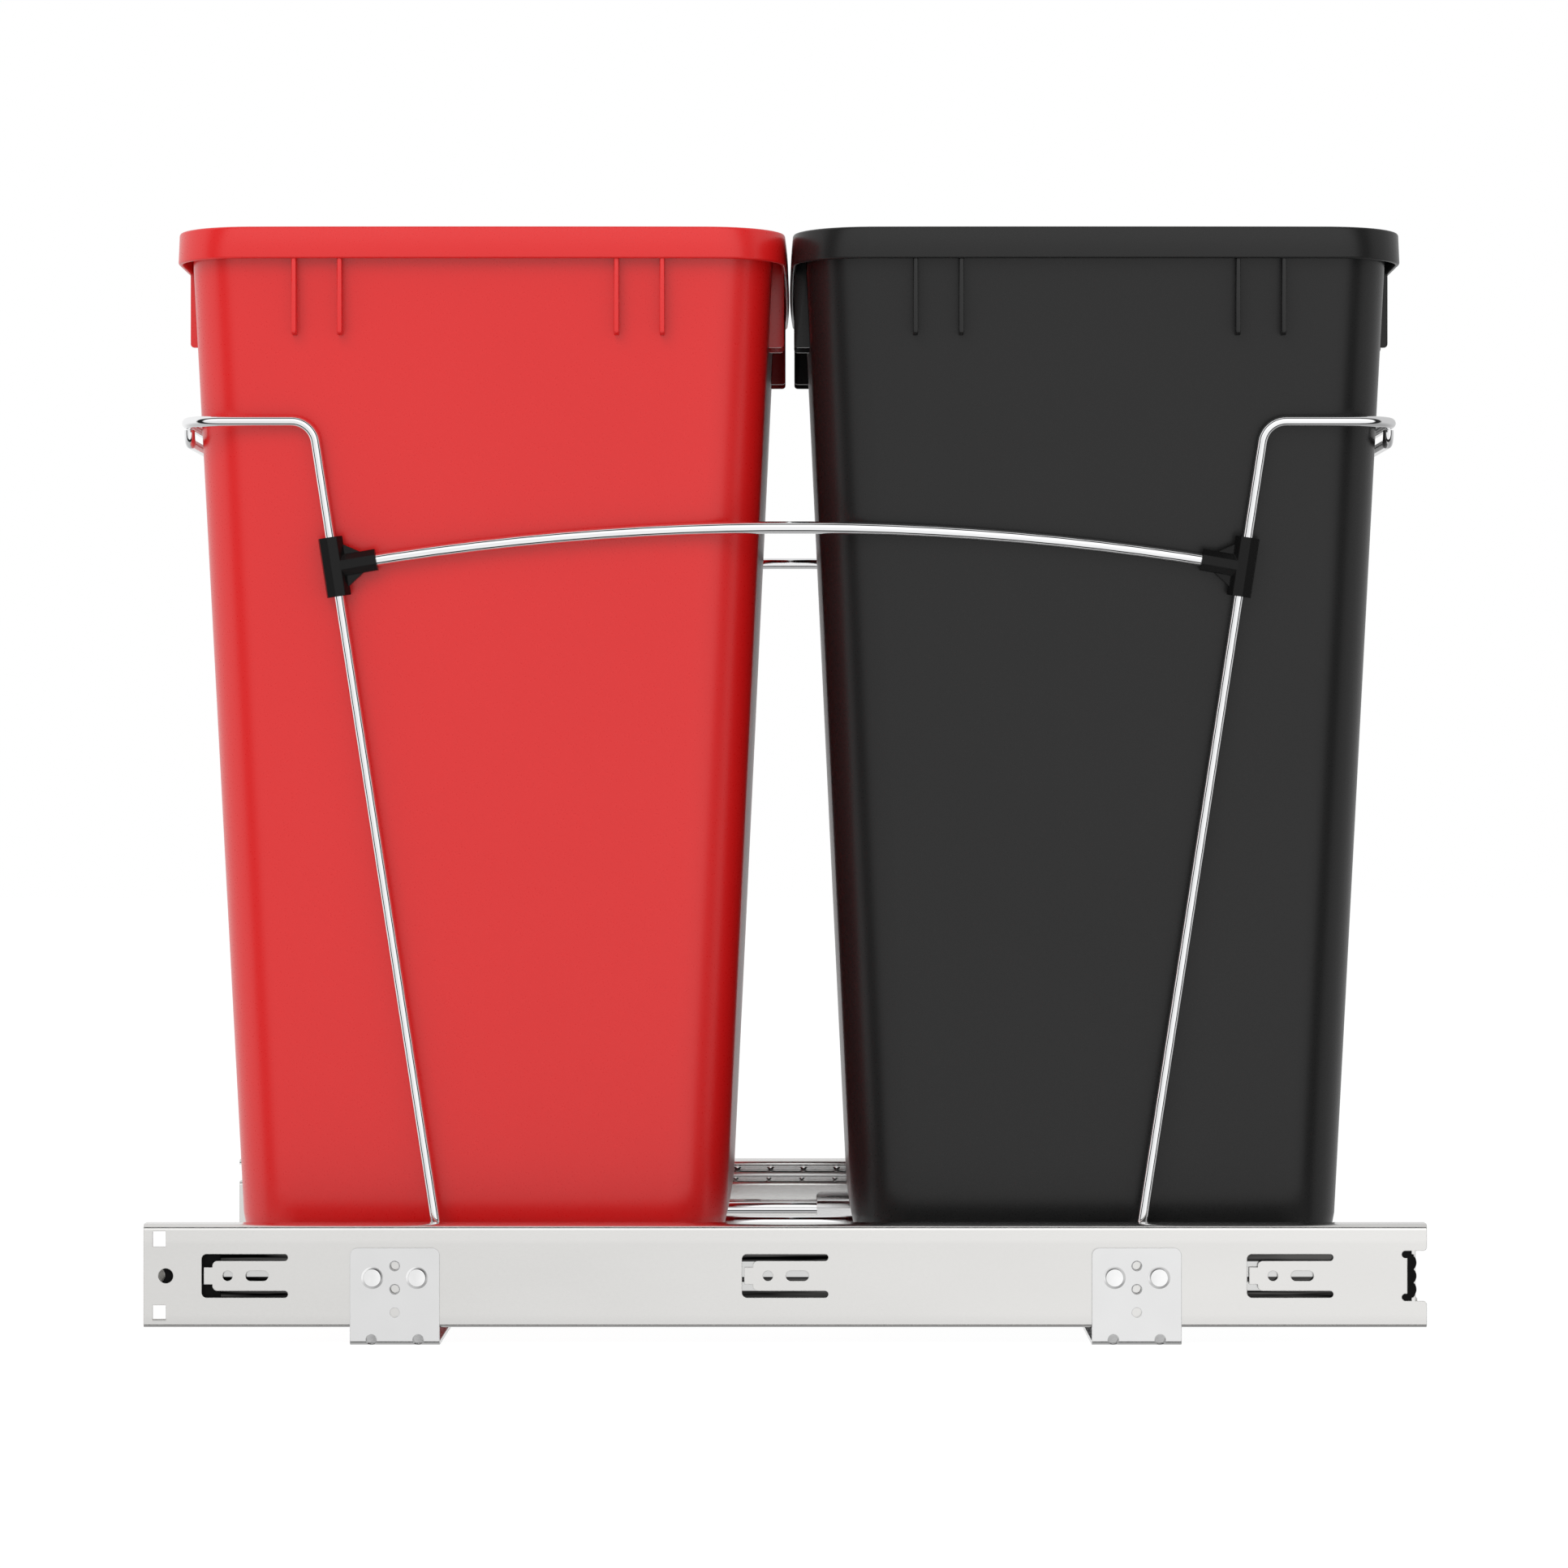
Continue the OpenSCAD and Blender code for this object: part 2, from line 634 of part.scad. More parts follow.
module tab_screws() {
    color(steel)
        each_tab_screw() {
            translate([0, 0, -joint_tab_t - 2 * seat_gap])
                cylinder(d = tab_screw_d, h = joint_tab_t + rail_wall);
            translate([0, 0, -joint_tab_t - 2 * seat_gap - tab_head_h])
                cylinder(d = tab_head_d, h = tab_head_h);
        }
}

// Cross strap: a plate up each slide, joined by a flat run over the cabinet floor
module cross_strap(x) {
    color(steel)
        difference() {
            union() {
                translate([x - strap_w / 2, strap_bend_r - half_w, 0])
                    cube([strap_w, frame_w - 2 * strap_bend_r, strap_t]);
                for (hand = [0, 1]) mirror([0, hand, 0]) {
                    translate([x - strap_w / 2, -half_w, 0])
                        rotate([90, 0, 90])
                            linear_extrude(strap_w)
                                quarter_bend(strap_bend_r, strap_bend_r, strap_bend_r, strap_t, -1, -1);
                    translate([x, strap_t - half_w, 0])
                        rotate([90, 0, 0])
                            linear_extrude(strap_t) strap_plate();
                }
            }
            for (side = [-1, 1]) {
                translate([x, side * floor_hole_pitch / 2, 0])
                    cylinder(d = floor_hole_d, h = 4 * strap_t, center = true);
            }
            for (hand = [0, 1], side = [-1, 1]) mirror([0, hand, 0])
                translate([x + side * relief_pitch / 2, -half_w, relief_d / 2])
                    rotate([90, 0, 0])
                        cylinder(d = relief_d, h = 4 * strap_bend_r, center = true);
        }
}

// Outline of an upright plate with its rivet holes and spare holes
module strap_plate() {
    top_z = strap_top - strap_corner_r;
    difference() {
        union() {
            translate([-strap_w / 2, strap_bend_r]) square([strap_w, top_z - strap_bend_r]);
            translate([strap_corner_r - strap_w / 2, strap_bend_r])
                square([strap_w - 2 * strap_corner_r, strap_top - strap_bend_r]);
            for (side = [-1, 1])
                translate([side * (strap_w / 2 - strap_corner_r), top_z]) circle(strap_corner_r);
        }
        for (side = [-1, 1])
            translate([side * rivet_pitch / 2, rivet_z]) circle(d = rivet_d + 2 * rivet_fit);
        for (row = [0, 1, 2])
            translate([0, pilot_top_z - row * pilot_pitch]) circle(d = pilot_d);
    }
}

// Rivets with low domed heads, set flush inside the rail
module strap_rivets() {
    color(chrome)
        for (hand = [0, 1], x = strap_x, side = [-1, 1]) mirror([0, hand, 0])
            translate([x + side * rivet_pitch / 2, -half_w, rivet_z])
                rotate([90, 0, 0]) {
                    translate([0, 0, -strap_t - rail_wall])
                        cylinder(d = rivet_d, h = strap_t + rail_wall);
                    cylinder(d1 = rivet_head_d, d2 = rivet_flat_d, h = rivet_head_h);
                }
}

// Straight run of wire from p to q
module wire_run(p, q, d) {
    v = q - p;
    translate(p) rotate([0, acos(v.z / norm(v)), atan2(v.y, v.x)]) cylinder(d = d, h = norm(v));
}

function unit(v) = v / norm(v);

// Length of a straight run that a bend of radius r takes up at corner b
function bend_take(a, b, c, r) = r * tan(acos(unit(b - a) * unit(c - b)) / 2);

// Bend of radius r at corner b, on the way from a to c
module wire_bend(a, b, c, r, d) {
    u = unit(b - a);
    v = unit(c - b);
    n = unit(v - (v * u) * u);
    w = cross(u, n);
    mid = b - u * bend_take(a, b, c, r) + n * r;
    multmatrix([[-n.x, u.x, w.x, mid.x], [-n.y, u.y, w.y, mid.y], [-n.z, u.z, w.z, mid.z]])
        rotate_extrude(angle = acos(u * v))
            translate([r, 0]) circle(d = d + bend_swell);
}

// Wire through the listed corners, each bent at its own radius; the ends have radius 0
module bent_wire(points, radii, d, closed) {
    count = len(points);
    for (i = [closed ? 0 : 1 : count - 1]) {
        a = points[(i + count - 1) % count];
        b = points[i];
        before = points[(i + count - 2) % count];
        after = points[(i + 1) % count];
        r_a = radii[(i + count - 1) % count];
        start = r_a > 0 ? a + unit(b - a) * (bend_take(before, a, b, r_a) - splice) : a;
        stop = radii[i] > 0 ? b - unit(b - a) * (bend_take(a, b, after, radii[i]) - splice) : b;
        wire_run(start, stop, d);
        if (radii[i] > 0) wire_bend(a, b, after, radii[i], d);
    }
}

// Hoop: one closed wire round the end of a bin, down both sides and across under it
module rear_hoop() {
    corner = [bar_x, -hoop_y, hoop_z];
    right = [foot, knee, corner];
    left = [for (p = [corner, knee, foot]) [p.x, -p.y, p.z]];
    color(chrome)
        in_frame()
            bent_wire(
                concat(right, left),
                [foot_r, knee_r, corner_bend_r, corner_bend_r, knee_r, foot_r],
                hoop_wire_d, true
            );
}

// Lower bar with turned-up ends, welded under the hoop's end bar
module rear_lower_bar() {
    low_z = hoop_z - lower_bar_drop;
    top_z = hoop_z - hoop_wire_d / 2 - seat_gap;
    y = lower_bar_len / 2;
    color(chrome)
        in_frame()
            bent_wire(
                [[bar_x, -y, top_z], [bar_x, -y, low_z], [bar_x, y, low_z], [bar_x, y, top_z]],
                [0, hoop_wire_d, hoop_wire_d, 0], hoop_wire_d, false
            );
}

// Arched side rail, plugged into two connectors
module right_arch_rail() {
    color(chrome)
        in_frame()
            translate([0, tee_at.y, arch_z - arch_r])
                rotate([90, 0, 0])
                    rotate([0, 0, 90 - arch_end])
                        rotate_extrude(angle = 2 * arch_end)
                            translate([arch_r, 0]) circle(d = arch_d);
}

// Eight-sided tube of a given width over its flats
module octagon_tube(width, len) {
    sides = 8;
    half_side = 180 / sides;
    rotate([0, 0, half_side]) cylinder(d = width / cos(half_side), h = len, $fn = sides);
}

// Turns a shape that stands on +Z towards the connector's stem
module along_stem() { rotate([0, -90 + arch_tilt, 0]) children(); }

// Turns a shape that stands on +Z towards the hoop's upright
module along_upright() { rotate([0, acos(upright.z), atan2(upright.y, upright.x)]) children(); }

// Plastic connector between a hoop's upright and the arched rail
module rear_right_tee() {
    web_inner = tee_w / 2 - web_t / 2;
    color([0.16, 0.16, 0.17])
        in_frame()
            translate(tee_at) difference() {
                union() {
                    along_upright() translate([0, 0, -tee_len / 2]) octagon_tube(tee_w, tee_len);
                    along_stem() octagon_tube(stem_w, stem_len);
                    along_stem() rotate([90, 0, 0])
                        linear_extrude(web_t, center = true)
                            for (side = [-1, 1])
                                polygon([
                                    [0, web_inner],
                                    [side * (stem_w / 2 + web_rise), web_inner],
                                    [0, web_inner + web_run + web_rise]
                                ]);
                }
                along_upright() cylinder(d = hoop_wire_d + 2 * wire_fit, h = 2 * tee_len, center = true);
                along_stem() translate([0, 0, stem_len - socket_depth])
                    cylinder(d = arch_d + 2 * arch_fit, h = socket_depth + cut);
                translate([0, tee_back, 0]) rotate([bin_draft, 0, 0])
                    translate([-stem_len - tee_w, 0, -tee_len])
                        cube([stem_len + 2 * tee_w, tee_w, 2 * tee_len]);
            }
}

// Long base wires and the cross wires that the bins stand on
module long_wire(y) {
    color(chrome)
        in_frame()
            wire_run([-base_wire_len / 2, y, base_wire_z], [base_wire_len / 2, y, base_wire_z], base_wire_d);
}

module cross_wires() {
    color(chrome)
        in_frame()
            for (x = [-outer_cross, -inner_cross, inner_cross, outer_cross])
                wire_run([x, -base_wire_y, cross_z], [x, base_wire_y, cross_z], cross_wire_d);
}

// Outline with rounded corners and sides that bow out by the crown
function bowed(half, reach, along) = half - side_crown * pow(along / reach, 2);
function outline(hx, hy, r, steps = side_steps, turn = corner_steps) = let (
    cx = hx - side_crown - r,
    cy = hy - side_crown - r,
    corner = [for (i = [0 : turn]) let (a = 90 * i / turn) [cx + r * cos(a), cy + r * sin(a)]],
    right = [for (i = [1 : steps - 1]) let (y = cy * (2 * i / steps - 1)) [bowed(hx, cy, y), y]],
    top = [for (i = [1 : steps - 1]) let (x = cx * (1 - 2 * i / steps)) [x, bowed(hy, cx, x)]]
) concat(
    right, corner, top,
    [for (i = [turn : -1 : 0]) [-corner[i].x, corner[i].y]],
    [for (p = right) [-p.x, -p.y]],
    [for (p = corner) [-p.x, -p.y]],
    [for (p = top) [-p.x, -p.y]],
    [for (i = [turn : -1 : 0]) [corner[i].x, -corner[i].y]]
);

module slab(z, hx, hy, r) { translate([0, 0, z]) linear_extrude(section_t) polygon(outline(hx, hy, r)); }

// Tapered body with a rounded bottom edge, drawn in by a wall
module bin_body(wall, top_z) {
    low_z = bin_z + wall;
    edge_r = bottom_r - wall;
    hull() {
        for (i = [0 : edge_steps]) {
            a = 90 * i / edge_steps;
            z = low_z + edge_r * (1 - sin(a));
            inset = wall + edge_r * (1 - cos(a));
            r = body_r - inset * body_r / (body_r + bottom_r);
            slab(z, body_x(z) - inset, body_y(z) - inset, r);
        }
        slab(top_z, body_x(top_z) - wall, body_y(top_z) - wall, body_r - wall);
    }
}

// Rim skirt, rounded over at the top and flared at its lower edge
module rim_form(wall, low_z, high_z) {
    hx = bin_len / 2 - wall;
    hy = bin_w / 2 - wall;
    edge = rim_wall / 2;
    hull() {
        slab(low_z, hx, hy, rim_r - wall);
        slab(high_z - edge, hx - rim_flare, hy - rim_flare, rim_r - wall);
        slab(high_z - section_t, hx - rim_flare - edge, hy - rim_flare - edge, rim_r - wall - edge);
    }
}

// Blade of two opposite ribs, drawn across the bin, with rounded lower corners
module rib_blade(reach, low_z, high_z) {
    linear_extrude(rib_t, center = true) {
        translate([-reach, low_z + rib_end_r]) square([2 * reach, high_z - low_z - rib_end_r]);
        translate([rib_end_r - reach, low_z]) square([2 * (reach - rib_end_r), 2 * rib_end_r]);
        for (side = [-1, 1])
            translate([side * (reach - rib_end_r), low_z + rib_end_r]) circle(rib_end_r);
    }
}

// Pairs of stacking ribs on the four sides, from the rim down
module stacking_ribs() {
    low_z = rim_z - rib_drop;
    high_z = rim_z - rim_wall;
    inset = rib_setback + rim_flare;
    for (pair = [-1, 1], rib = [-1, 1]) {
        x = (pair * side_pair_pitch + rib * side_rib_gap) / 2;
        y = (pair * end_pair_pitch + rib * end_rib_gap) / 2;
        translate([x, 0, 0]) rotate([90, 0, 90]) rib_blade(bin_w / 2 - inset, low_z, high_z);
        translate([0, y, 0]) rotate([90, 0, 0]) rib_blade(bin_len / 2 - inset, low_z, high_z);
    }
}

// Moulded bin with a turned-down rim
module bin_shell() {
    difference() {
        union() {
            bin_body(0, rim_z - rim_wall);
            difference() {
                rim_form(0, rim_z - rim_h, rim_z);
                rim_form(rim_wall, rim_z - rim_h - cut, rim_z - rim_wall);
            }
            stacking_ribs();
        }
        bin_body(bin_wall, rim_z + cut);
    }
}

module front_bin() { color("firebrick") in_frame() translate([-bin_pitch / 2, 0, 0]) bin_shell(); }
module rear_bin() { color([0.2, 0.2, 0.2]) in_frame() translate([bin_pitch / 2, 0, 0]) bin_shell(); }

// The front half of the wire frame mirrors the rear half about the bins' common middle
module frame_front() { in_frame() front_end() translate([-bins_x, 0, 0]) children(); }

cabinet_rail();  // right_cabinet_rail
left_hand() cabinet_rail();  // left_cabinet_rail
cross_strap(strap_x[0]);  // front_cross_strap
cross_strap(strap_x[1]);  // rear_cross_strap
strap_rivets();
rear_bumper();  // right_rear_bumper
left_hand() rear_bumper();  // left_rear_bumper
outer_cage();  // right_outer_cage
left_hand() outer_cage();  // left_outer_cage
outer_balls();  // right_outer_balls
left_hand() outer_balls();  // left_outer_balls
middle_rail();  // right_middle_rail
left_hand() middle_rail();  // left_middle_rail
front_stop();  // right_front_stop
left_hand() front_stop();  // left_front_stop
inner_cage();  // right_inner_cage
left_hand() inner_cage();  // left_inner_cage
inner_balls();  // right_inner_balls
left_hand() inner_balls();  // left_inner_balls
drawer_rail();  // right_drawer_rail
left_hand() drawer_rail();  // left_drawer_rail
joint_tabs();  // right_joint_tabs
left_hand() joint_tabs();  // left_joint_tabs
tab_screws();  // right_tab_screws
left_hand() tab_screws();  // left_tab_screws
long_wire(-base_wire_y);  // right_base_wire
long_wire(base_wire_y);  // left_base_wire
long_wire(-inner_wire_pitch / 2);  // right_inner_wire
long_wire(inner_wire_pitch / 2);  // left_inner_wire
cross_wires();
frame_front() rear_hoop();  // front_hoop
rear_hoop();
frame_front() rear_lower_bar();  // front_lower_bar
rear_lower_bar();
right_arch_rail();
left_hand() right_arch_rail();  // left_arch_rail
frame_front() rear_right_tee();  // front_right_tee
left_hand() frame_front() rear_right_tee();  // front_left_tee
rear_right_tee();
left_hand() rear_right_tee();  // rear_left_tee
front_bin();
rear_bin();
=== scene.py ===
# %% [markdown]
# # A pull-out bin frame, dressed in Blender
# The real object is a kitchen pull-out: two ball-bearing slides screwed to a cabinet floor, a chrome wire
# frame that runs on them, and two plastic bins that stand in the frame. The solids of the mechanism come
# from a imported CAD model, so every piece is already in its place. Blender adds what the solids lack: the
# soft moulded form of the bins, the finer form of the small fasteners, and the finishes.
# The model is loaded once, and the box of any of its solids can be read from it. The dressed object may
# not grow past it.

# %% Load the imported model
import math

import bmesh
import bpy
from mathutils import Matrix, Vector


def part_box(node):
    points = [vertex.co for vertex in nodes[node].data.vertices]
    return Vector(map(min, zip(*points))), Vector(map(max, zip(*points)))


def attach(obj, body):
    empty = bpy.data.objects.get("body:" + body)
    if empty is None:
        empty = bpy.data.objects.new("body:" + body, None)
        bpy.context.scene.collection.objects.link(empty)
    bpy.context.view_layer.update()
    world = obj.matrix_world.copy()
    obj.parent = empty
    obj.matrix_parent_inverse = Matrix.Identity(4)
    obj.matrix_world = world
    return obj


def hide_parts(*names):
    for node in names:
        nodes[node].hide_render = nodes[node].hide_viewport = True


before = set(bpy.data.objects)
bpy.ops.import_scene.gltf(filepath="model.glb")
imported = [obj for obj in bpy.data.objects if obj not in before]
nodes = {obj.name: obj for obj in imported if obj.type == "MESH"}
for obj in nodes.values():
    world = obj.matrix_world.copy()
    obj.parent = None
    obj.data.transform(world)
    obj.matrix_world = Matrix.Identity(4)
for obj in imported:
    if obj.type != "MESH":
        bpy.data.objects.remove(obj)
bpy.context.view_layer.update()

MM = 0.001

# %% [markdown]
# ## The camera
# The picture is a straight side view with a long lens: the rail's ends show almost no perspective, and the
# far slide shows between the bins just above the near one, so the eye is level with the middle of the bins.
# A real camera at that height, looking along Y with no tilt, keeps all the uprights straight. It stands a
# little to the right of the middle, and a small lens shift brings the object back to the middle.

# %% Camera
SENSOR_WIDTH = 36.0
FOCAL_LENGTH = 110.3
LENS_SHIFT = -0.0088
EYE = (5.5 * MM, -2278 * MM, 244.2 * MM)
scene = bpy.context.scene
scene.view_settings.view_transform = "Standard"

photo_lens = bpy.data.cameras.new("photo_camera")
photo_lens.sensor_width = SENSOR_WIDTH
photo_lens.lens = FOCAL_LENGTH
photo_lens.shift_x = LENS_SHIFT
photo_camera = bpy.data.objects.new("photo_camera", photo_lens)
photo_camera.location = EYE
photo_camera.rotation_euler = (math.radians(90), 0, 0)
scene.collection.objects.link(photo_camera)
scene.camera = photo_camera
print("camera at", [round(v, 4) for v in photo_camera.location])

# %% [markdown]
# ## Writing shaders as sums
# A finish is a small network of nodes. Wiring nodes one by one hides the idea of the finish, so a socket is
# wrapped in a class that knows plus, minus and times: an expression then adds its own Math nodes. Every
# other node comes from one method, which sets the node's choices first and then fills its sockets.

# %% Shader helper
class Sock:
    """An output socket that can be used in a sum."""

    def __init__(self, shader, socket):
        self.shader = shader
        self.socket = socket

    def __add__(self, other):
        return self.shader.maths("ADD", self, other)

    def __radd__(self, other):
        return self.shader.maths("ADD", other, self)

    def __sub__(self, other):
        return self.shader.maths("SUBTRACT", self, other)

    def __mul__(self, other):
        return self.shader.maths("MULTIPLY", self, other)

    def __rmul__(self, other):
        return self.shader.maths("MULTIPLY", other, self)


class Shader:
    """A node tree, filled from empty."""

    def __init__(self, tree):
        self.tree = tree
        tree.nodes.clear()

    def node(self, kind, settings=None, inputs=None, out=0):
        """Adds a node and gives back one of its outputs, or the node itself if it has none."""
        made = self.tree.nodes.new(kind)
        for key, value in (settings or {}).items():
            setattr(made, key, value)
        for key, value in (inputs or {}).items():
            if isinstance(value, Sock):
                self.tree.links.new(value.socket, made.inputs[key])
            else:
                made.inputs[key].default_value = value
        return Sock(self, made.outputs[out]) if len(made.outputs) else made

    def maths(self, operation, *values):
        return self.node("ShaderNodeMath", {"operation": operation}, dict(enumerate(values)))

    def object_place(self, scale=(1, 1, 1)):
        place = self.node("ShaderNodeTexCoord", out="Object")
        return self.node("ShaderNodeMapping", inputs={"Vector": place, "Scale": scale})

    def height(self):
        return self.node("ShaderNodeSeparateXYZ", inputs={0: self.object_place()}, out="Z")

    def noise(self, scale, detail, stretch=(1, 1, 1)):
        return self.node("ShaderNodeTexNoise", {"noise_dimensions": "3D"},
                         {"Vector": self.object_place(stretch), "Scale": scale, "Detail": detail})

    def blend(self, factor, first, second):
        return self.node("ShaderNodeMix", {"data_type": "RGBA"}, {0: factor, 6: first, 7: second}, out=2)

    def ramp(self, value, start, stop, first, last):
        return self.node("ShaderNodeMapRange", {"interpolation_type": "SMOOTHSTEP"}, {
            "Value": value, "From Min": start, "From Max": stop, "To Min": first, "To Max": last})

    def bump(self, height, distance, rounded=0.0):
        inputs = {"Height": height, "Distance": distance, "Strength": 1.0}
        if rounded:
            inputs["Normal"] = self.node("ShaderNodeBevel", {"samples": 4}, {"Radius": rounded})
        return self.node("ShaderNodeBump", inputs=inputs)


def rgb(red, green, blue):
    """A colour as it is seen on a screen, 0 to 255, turned into the light values that a shader takes."""
    def linear(value):
        value /= 255.0
        return value / 12.92 if value <= 0.04045 else ((value + 0.055) / 1.055) ** 2.4
    return (linear(red), linear(green), linear(blue), 1.0)


def finish(name, make):
    """A material whose surface sockets are what make(shader) returns."""
    material = bpy.data.materials.new(name)
    material.use_nodes = True
    shader = Shader(material.node_tree)
    surface = shader.node("ShaderNodeBsdfPrincipled", inputs=make(shader))
    shader.node("ShaderNodeOutputMaterial", inputs={"Surface": surface})
    return material


# %% [markdown]
# ## Finishes of the zinc
# The slides are cold-rolled steel under bright zinc: pale grey, satin, with a fine grain that runs a little
# along the rail and soft clouds where the plating differs. Towards its upper edge a rail is painted a little
# paler, a painted highlight, and its finish leans the light softly back there, as sheet does where a bend
# begins. Towards its lower edge it is painted a little darker, which is painted shade. The straps are the
# same metal with a finer, tighter grain. Inside, middle rails and the ball cages are zinc too, with rolled
# beads along them that hold dark streaks, partly oil and partly painted shade, with grey streaks of painted
# sheen: these show through the slots of the outer rail. Each finish is a metal with its own grain in
# roughness and a very small bump. Sheet edges are never knife sharp, so a bevel node bends the light round
# them, which draws the fine lines round holes and tabs.

# %% Zinc finishes
EDGE_RADIUS = 0.5 * MM
GRAIN_DEPTH = 0.012 * MM
STRAP_GRAIN_DEPTH = 0.014 * MM
PAINTED_HIGHLIGHT_BAND = (43.5 * MM, 46.0 * MM)
PAINTED_SHADE_BAND = (9.0 * MM, 14.0 * MM)
ROLL_START = 50.05 * MM
ROLL_SOFT = 0.45 * MM
ROLL_REACH = 2.45 * MM
ROLL_SLOPE = 0.34
BEADS = ((37.7, 1.9), (28.3, 1.3), (21.8, 1.9))
PAINTED_SHEEN_LIMITS = (0.42, 0.66)


def rail_grain(shader):
    """The fine grain of rolled sheet, drawn out a little along X."""
    return shader.noise(1500.0, 3.0, (0.45, 1, 1))


def zinc(shader):
    """Bright zinc of a slide. Near its upper edge the web leans back softly into the bend."""
    grain = rail_grain(shader)
    cloud = shader.noise(26.0, 2.0, (0.4, 1, 1))
    scratch = shader.noise(420.0, 2.0, (0.03, 1, 1))
    height = shader.height()
    # Painted highlight and painted shade: paler towards the upper edge, darker towards the lower edge.
    painted_highlight = shader.ramp(height, *PAINTED_HIGHLIGHT_BAND, 0.0, 0.16)
    painted_shade = shader.ramp(height, *PAINTED_SHADE_BAND, 0.2, 0.0)
    tone_and_painted_light = 0.44 + cloud * 0.25 + grain * 0.1 + painted_highlight - painted_shade
    past = shader.maths("SMOOTH_MAX", height - ROLL_START, 0.0, ROLL_SOFT)
    lean = shader.maths("MINIMUM", past, ROLL_REACH) * (ROLL_SLOPE / GRAIN_DEPTH)
    return {
        "Base Color": shader.blend(tone_and_painted_light, rgb(206, 205, 203), rgb(237, 236, 234)),
        "Metallic": 1.0,
        "Roughness": 0.1 + grain * 0.07 + scratch * 0.05,
        "Normal": shader.bump(grain * 0.7 + scratch * 0.3 - lean, GRAIN_DEPTH, EDGE_RADIUS),
    }


def strap_zinc(shader):
    grain = shader.noise(2400.0, 3.0)
    cloud = shader.noise(40.0, 2.0)
    return {
        "Base Color": shader.blend(cloud, rgb(225, 225, 225), rgb(234, 234, 234)),
        "Metallic": 1.0,
        "Roughness": 0.12 + grain * 0.09,
        "Normal": shader.bump(grain, STRAP_GRAIN_DEPTH, EDGE_RADIUS),
    }


def rolled_zinc(shader):
    """Zinc with beads along X, dark as oil and as painted shade, with streaks of painted sheen. BEADS has
    the place of each in height and half its width, in mm.
    """
    grain = rail_grain(shader)
    streak = shader.noise(520.0, 3.0, (0.03, 1, 1))
    height = shader.height()
    beads = 0.0
    for centre, half in BEADS:
        offset = shader.maths("ABSOLUTE", height - centre * MM)
        beads = beads + shader.ramp(offset, 0.7 * half * MM, half * MM, 1.0, 0.0)
    # The oil colour is partly painted shade: nearly black bands where the slots show shade, with grey
    # streaks of painted sheen.
    dull, shiny = PAINTED_SHEEN_LIMITS
    painted_sheen = shader.node("ShaderNodeMapRange", inputs={"Value": streak, "From Min": dull, "From Max": shiny})
    oil_and_painted_shade = shader.blend(painted_sheen, rgb(3, 3, 3), rgb(84, 83, 82))
    return {
        "Base Color": shader.blend(beads, rgb(214, 214, 213), oil_and_painted_shade),
        "Metallic": 1.0,
        "Roughness": 0.14 + grain * 0.1,
        "Normal": shader.bump(grain, GRAIN_DEPTH),
    }


# %% [markdown]
# ## Finishes of the bright metal
# The wires are chrome over smooth drawn wire, so nearly a mirror with a faint haze. The rivets, screws and
# balls are polished steel.

# %% Chrome and polished steel
POLISH_DEPTH = 0.004 * MM


def chrome(shader):
    haze = shader.noise(60.0, 3.0)
    return {
        "Base Color": shader.blend(haze, rgb(238, 239, 240), rgb(247, 247, 248)),
        "Metallic": 1.0,
        "Roughness": 0.03 + haze * 0.04,
    }


def polished_steel(shader):
    haze = shader.noise(300.0, 3.0)
    return {
        "Base Color": shader.blend(haze, rgb(240, 240, 240), rgb(250, 250, 250)),
        "Metallic": 1.0,
        "Roughness": 0.06 + haze * 0.06,
        "Normal": shader.bump(haze, POLISH_DEPTH),
    }


steel_finishes = {
    "zinc_steel": finish("bright_zinc", zinc),
    "strap_steel": finish("strap_zinc", strap_zinc),
    "fastener_steel": finish("polished_fastener", polished_steel),
    "ball_steel": finish("polished_ball", polished_steel),
    "chrome_wire": finish("chrome_wire_plate", chrome),
}
inner_steel = finish("rolled_inner_zinc", rolled_zinc)
print("steel finishes:", sorted(steel_finishes))

# %% [markdown]
# ## Finishes of the plastic
# The bins are moulded in coloured polypropylene with a fine matt texture from the tool. A moulding is never
# quite even: the colour drifts a little over the wall and the gloss is broken by the texture. The tees are
# black nylon, a little shinier, and the buffers are dull rubber. One recipe serves all of them, with the
# colour, gloss and texture as its values, and a bevel node for the small pieces, whose solids have sharp
# edges.

# %% Plastic finishes
MOULD_EDGE = 0.6 * MM


def moulded(colour, second_colour, gloss, texture_scale, texture_depth, mirror, rounded=0.0):
    def make(shader):
        drift = shader.noise(9.0, 2.0)
        texture = shader.noise(texture_scale, 2.0)
        return {
            "Base Color": shader.blend(drift, colour, second_colour),
            "Roughness": gloss + texture * 0.1,
            "Normal": shader.bump(texture, texture_depth, rounded),
            "IOR": mirror,
        }
    return make


plastic_finishes = {
    "red_plastic": finish("red_moulding", moulded(
        rgb(216, 19, 20), rgb(221, 26, 26),
        gloss=0.24, texture_scale=1300.0, texture_depth=0.007 * MM, mirror=1.58)),
    "black_plastic": finish("black_moulding", moulded(
        rgb(24, 24, 24), rgb(29, 29, 29),
        gloss=0.24, texture_scale=1300.0, texture_depth=0.007 * MM, mirror=1.39)),
    "connector_plastic": finish("black_nylon", moulded(
        rgb(8, 8, 8), rgb(13, 13, 13),
        gloss=0.2, texture_scale=900.0, texture_depth=0.012 * MM, mirror=1.3, rounded=MOULD_EDGE)),
    "rubber": finish("buffer_rubber", moulded(
        rgb(8, 8, 8), rgb(12, 12, 12),
        gloss=0.55, texture_scale=700.0, texture_depth=0.06 * MM, mirror=1.2, rounded=MOULD_EDGE)),
}
print("plastic finishes:", sorted(plastic_finishes))

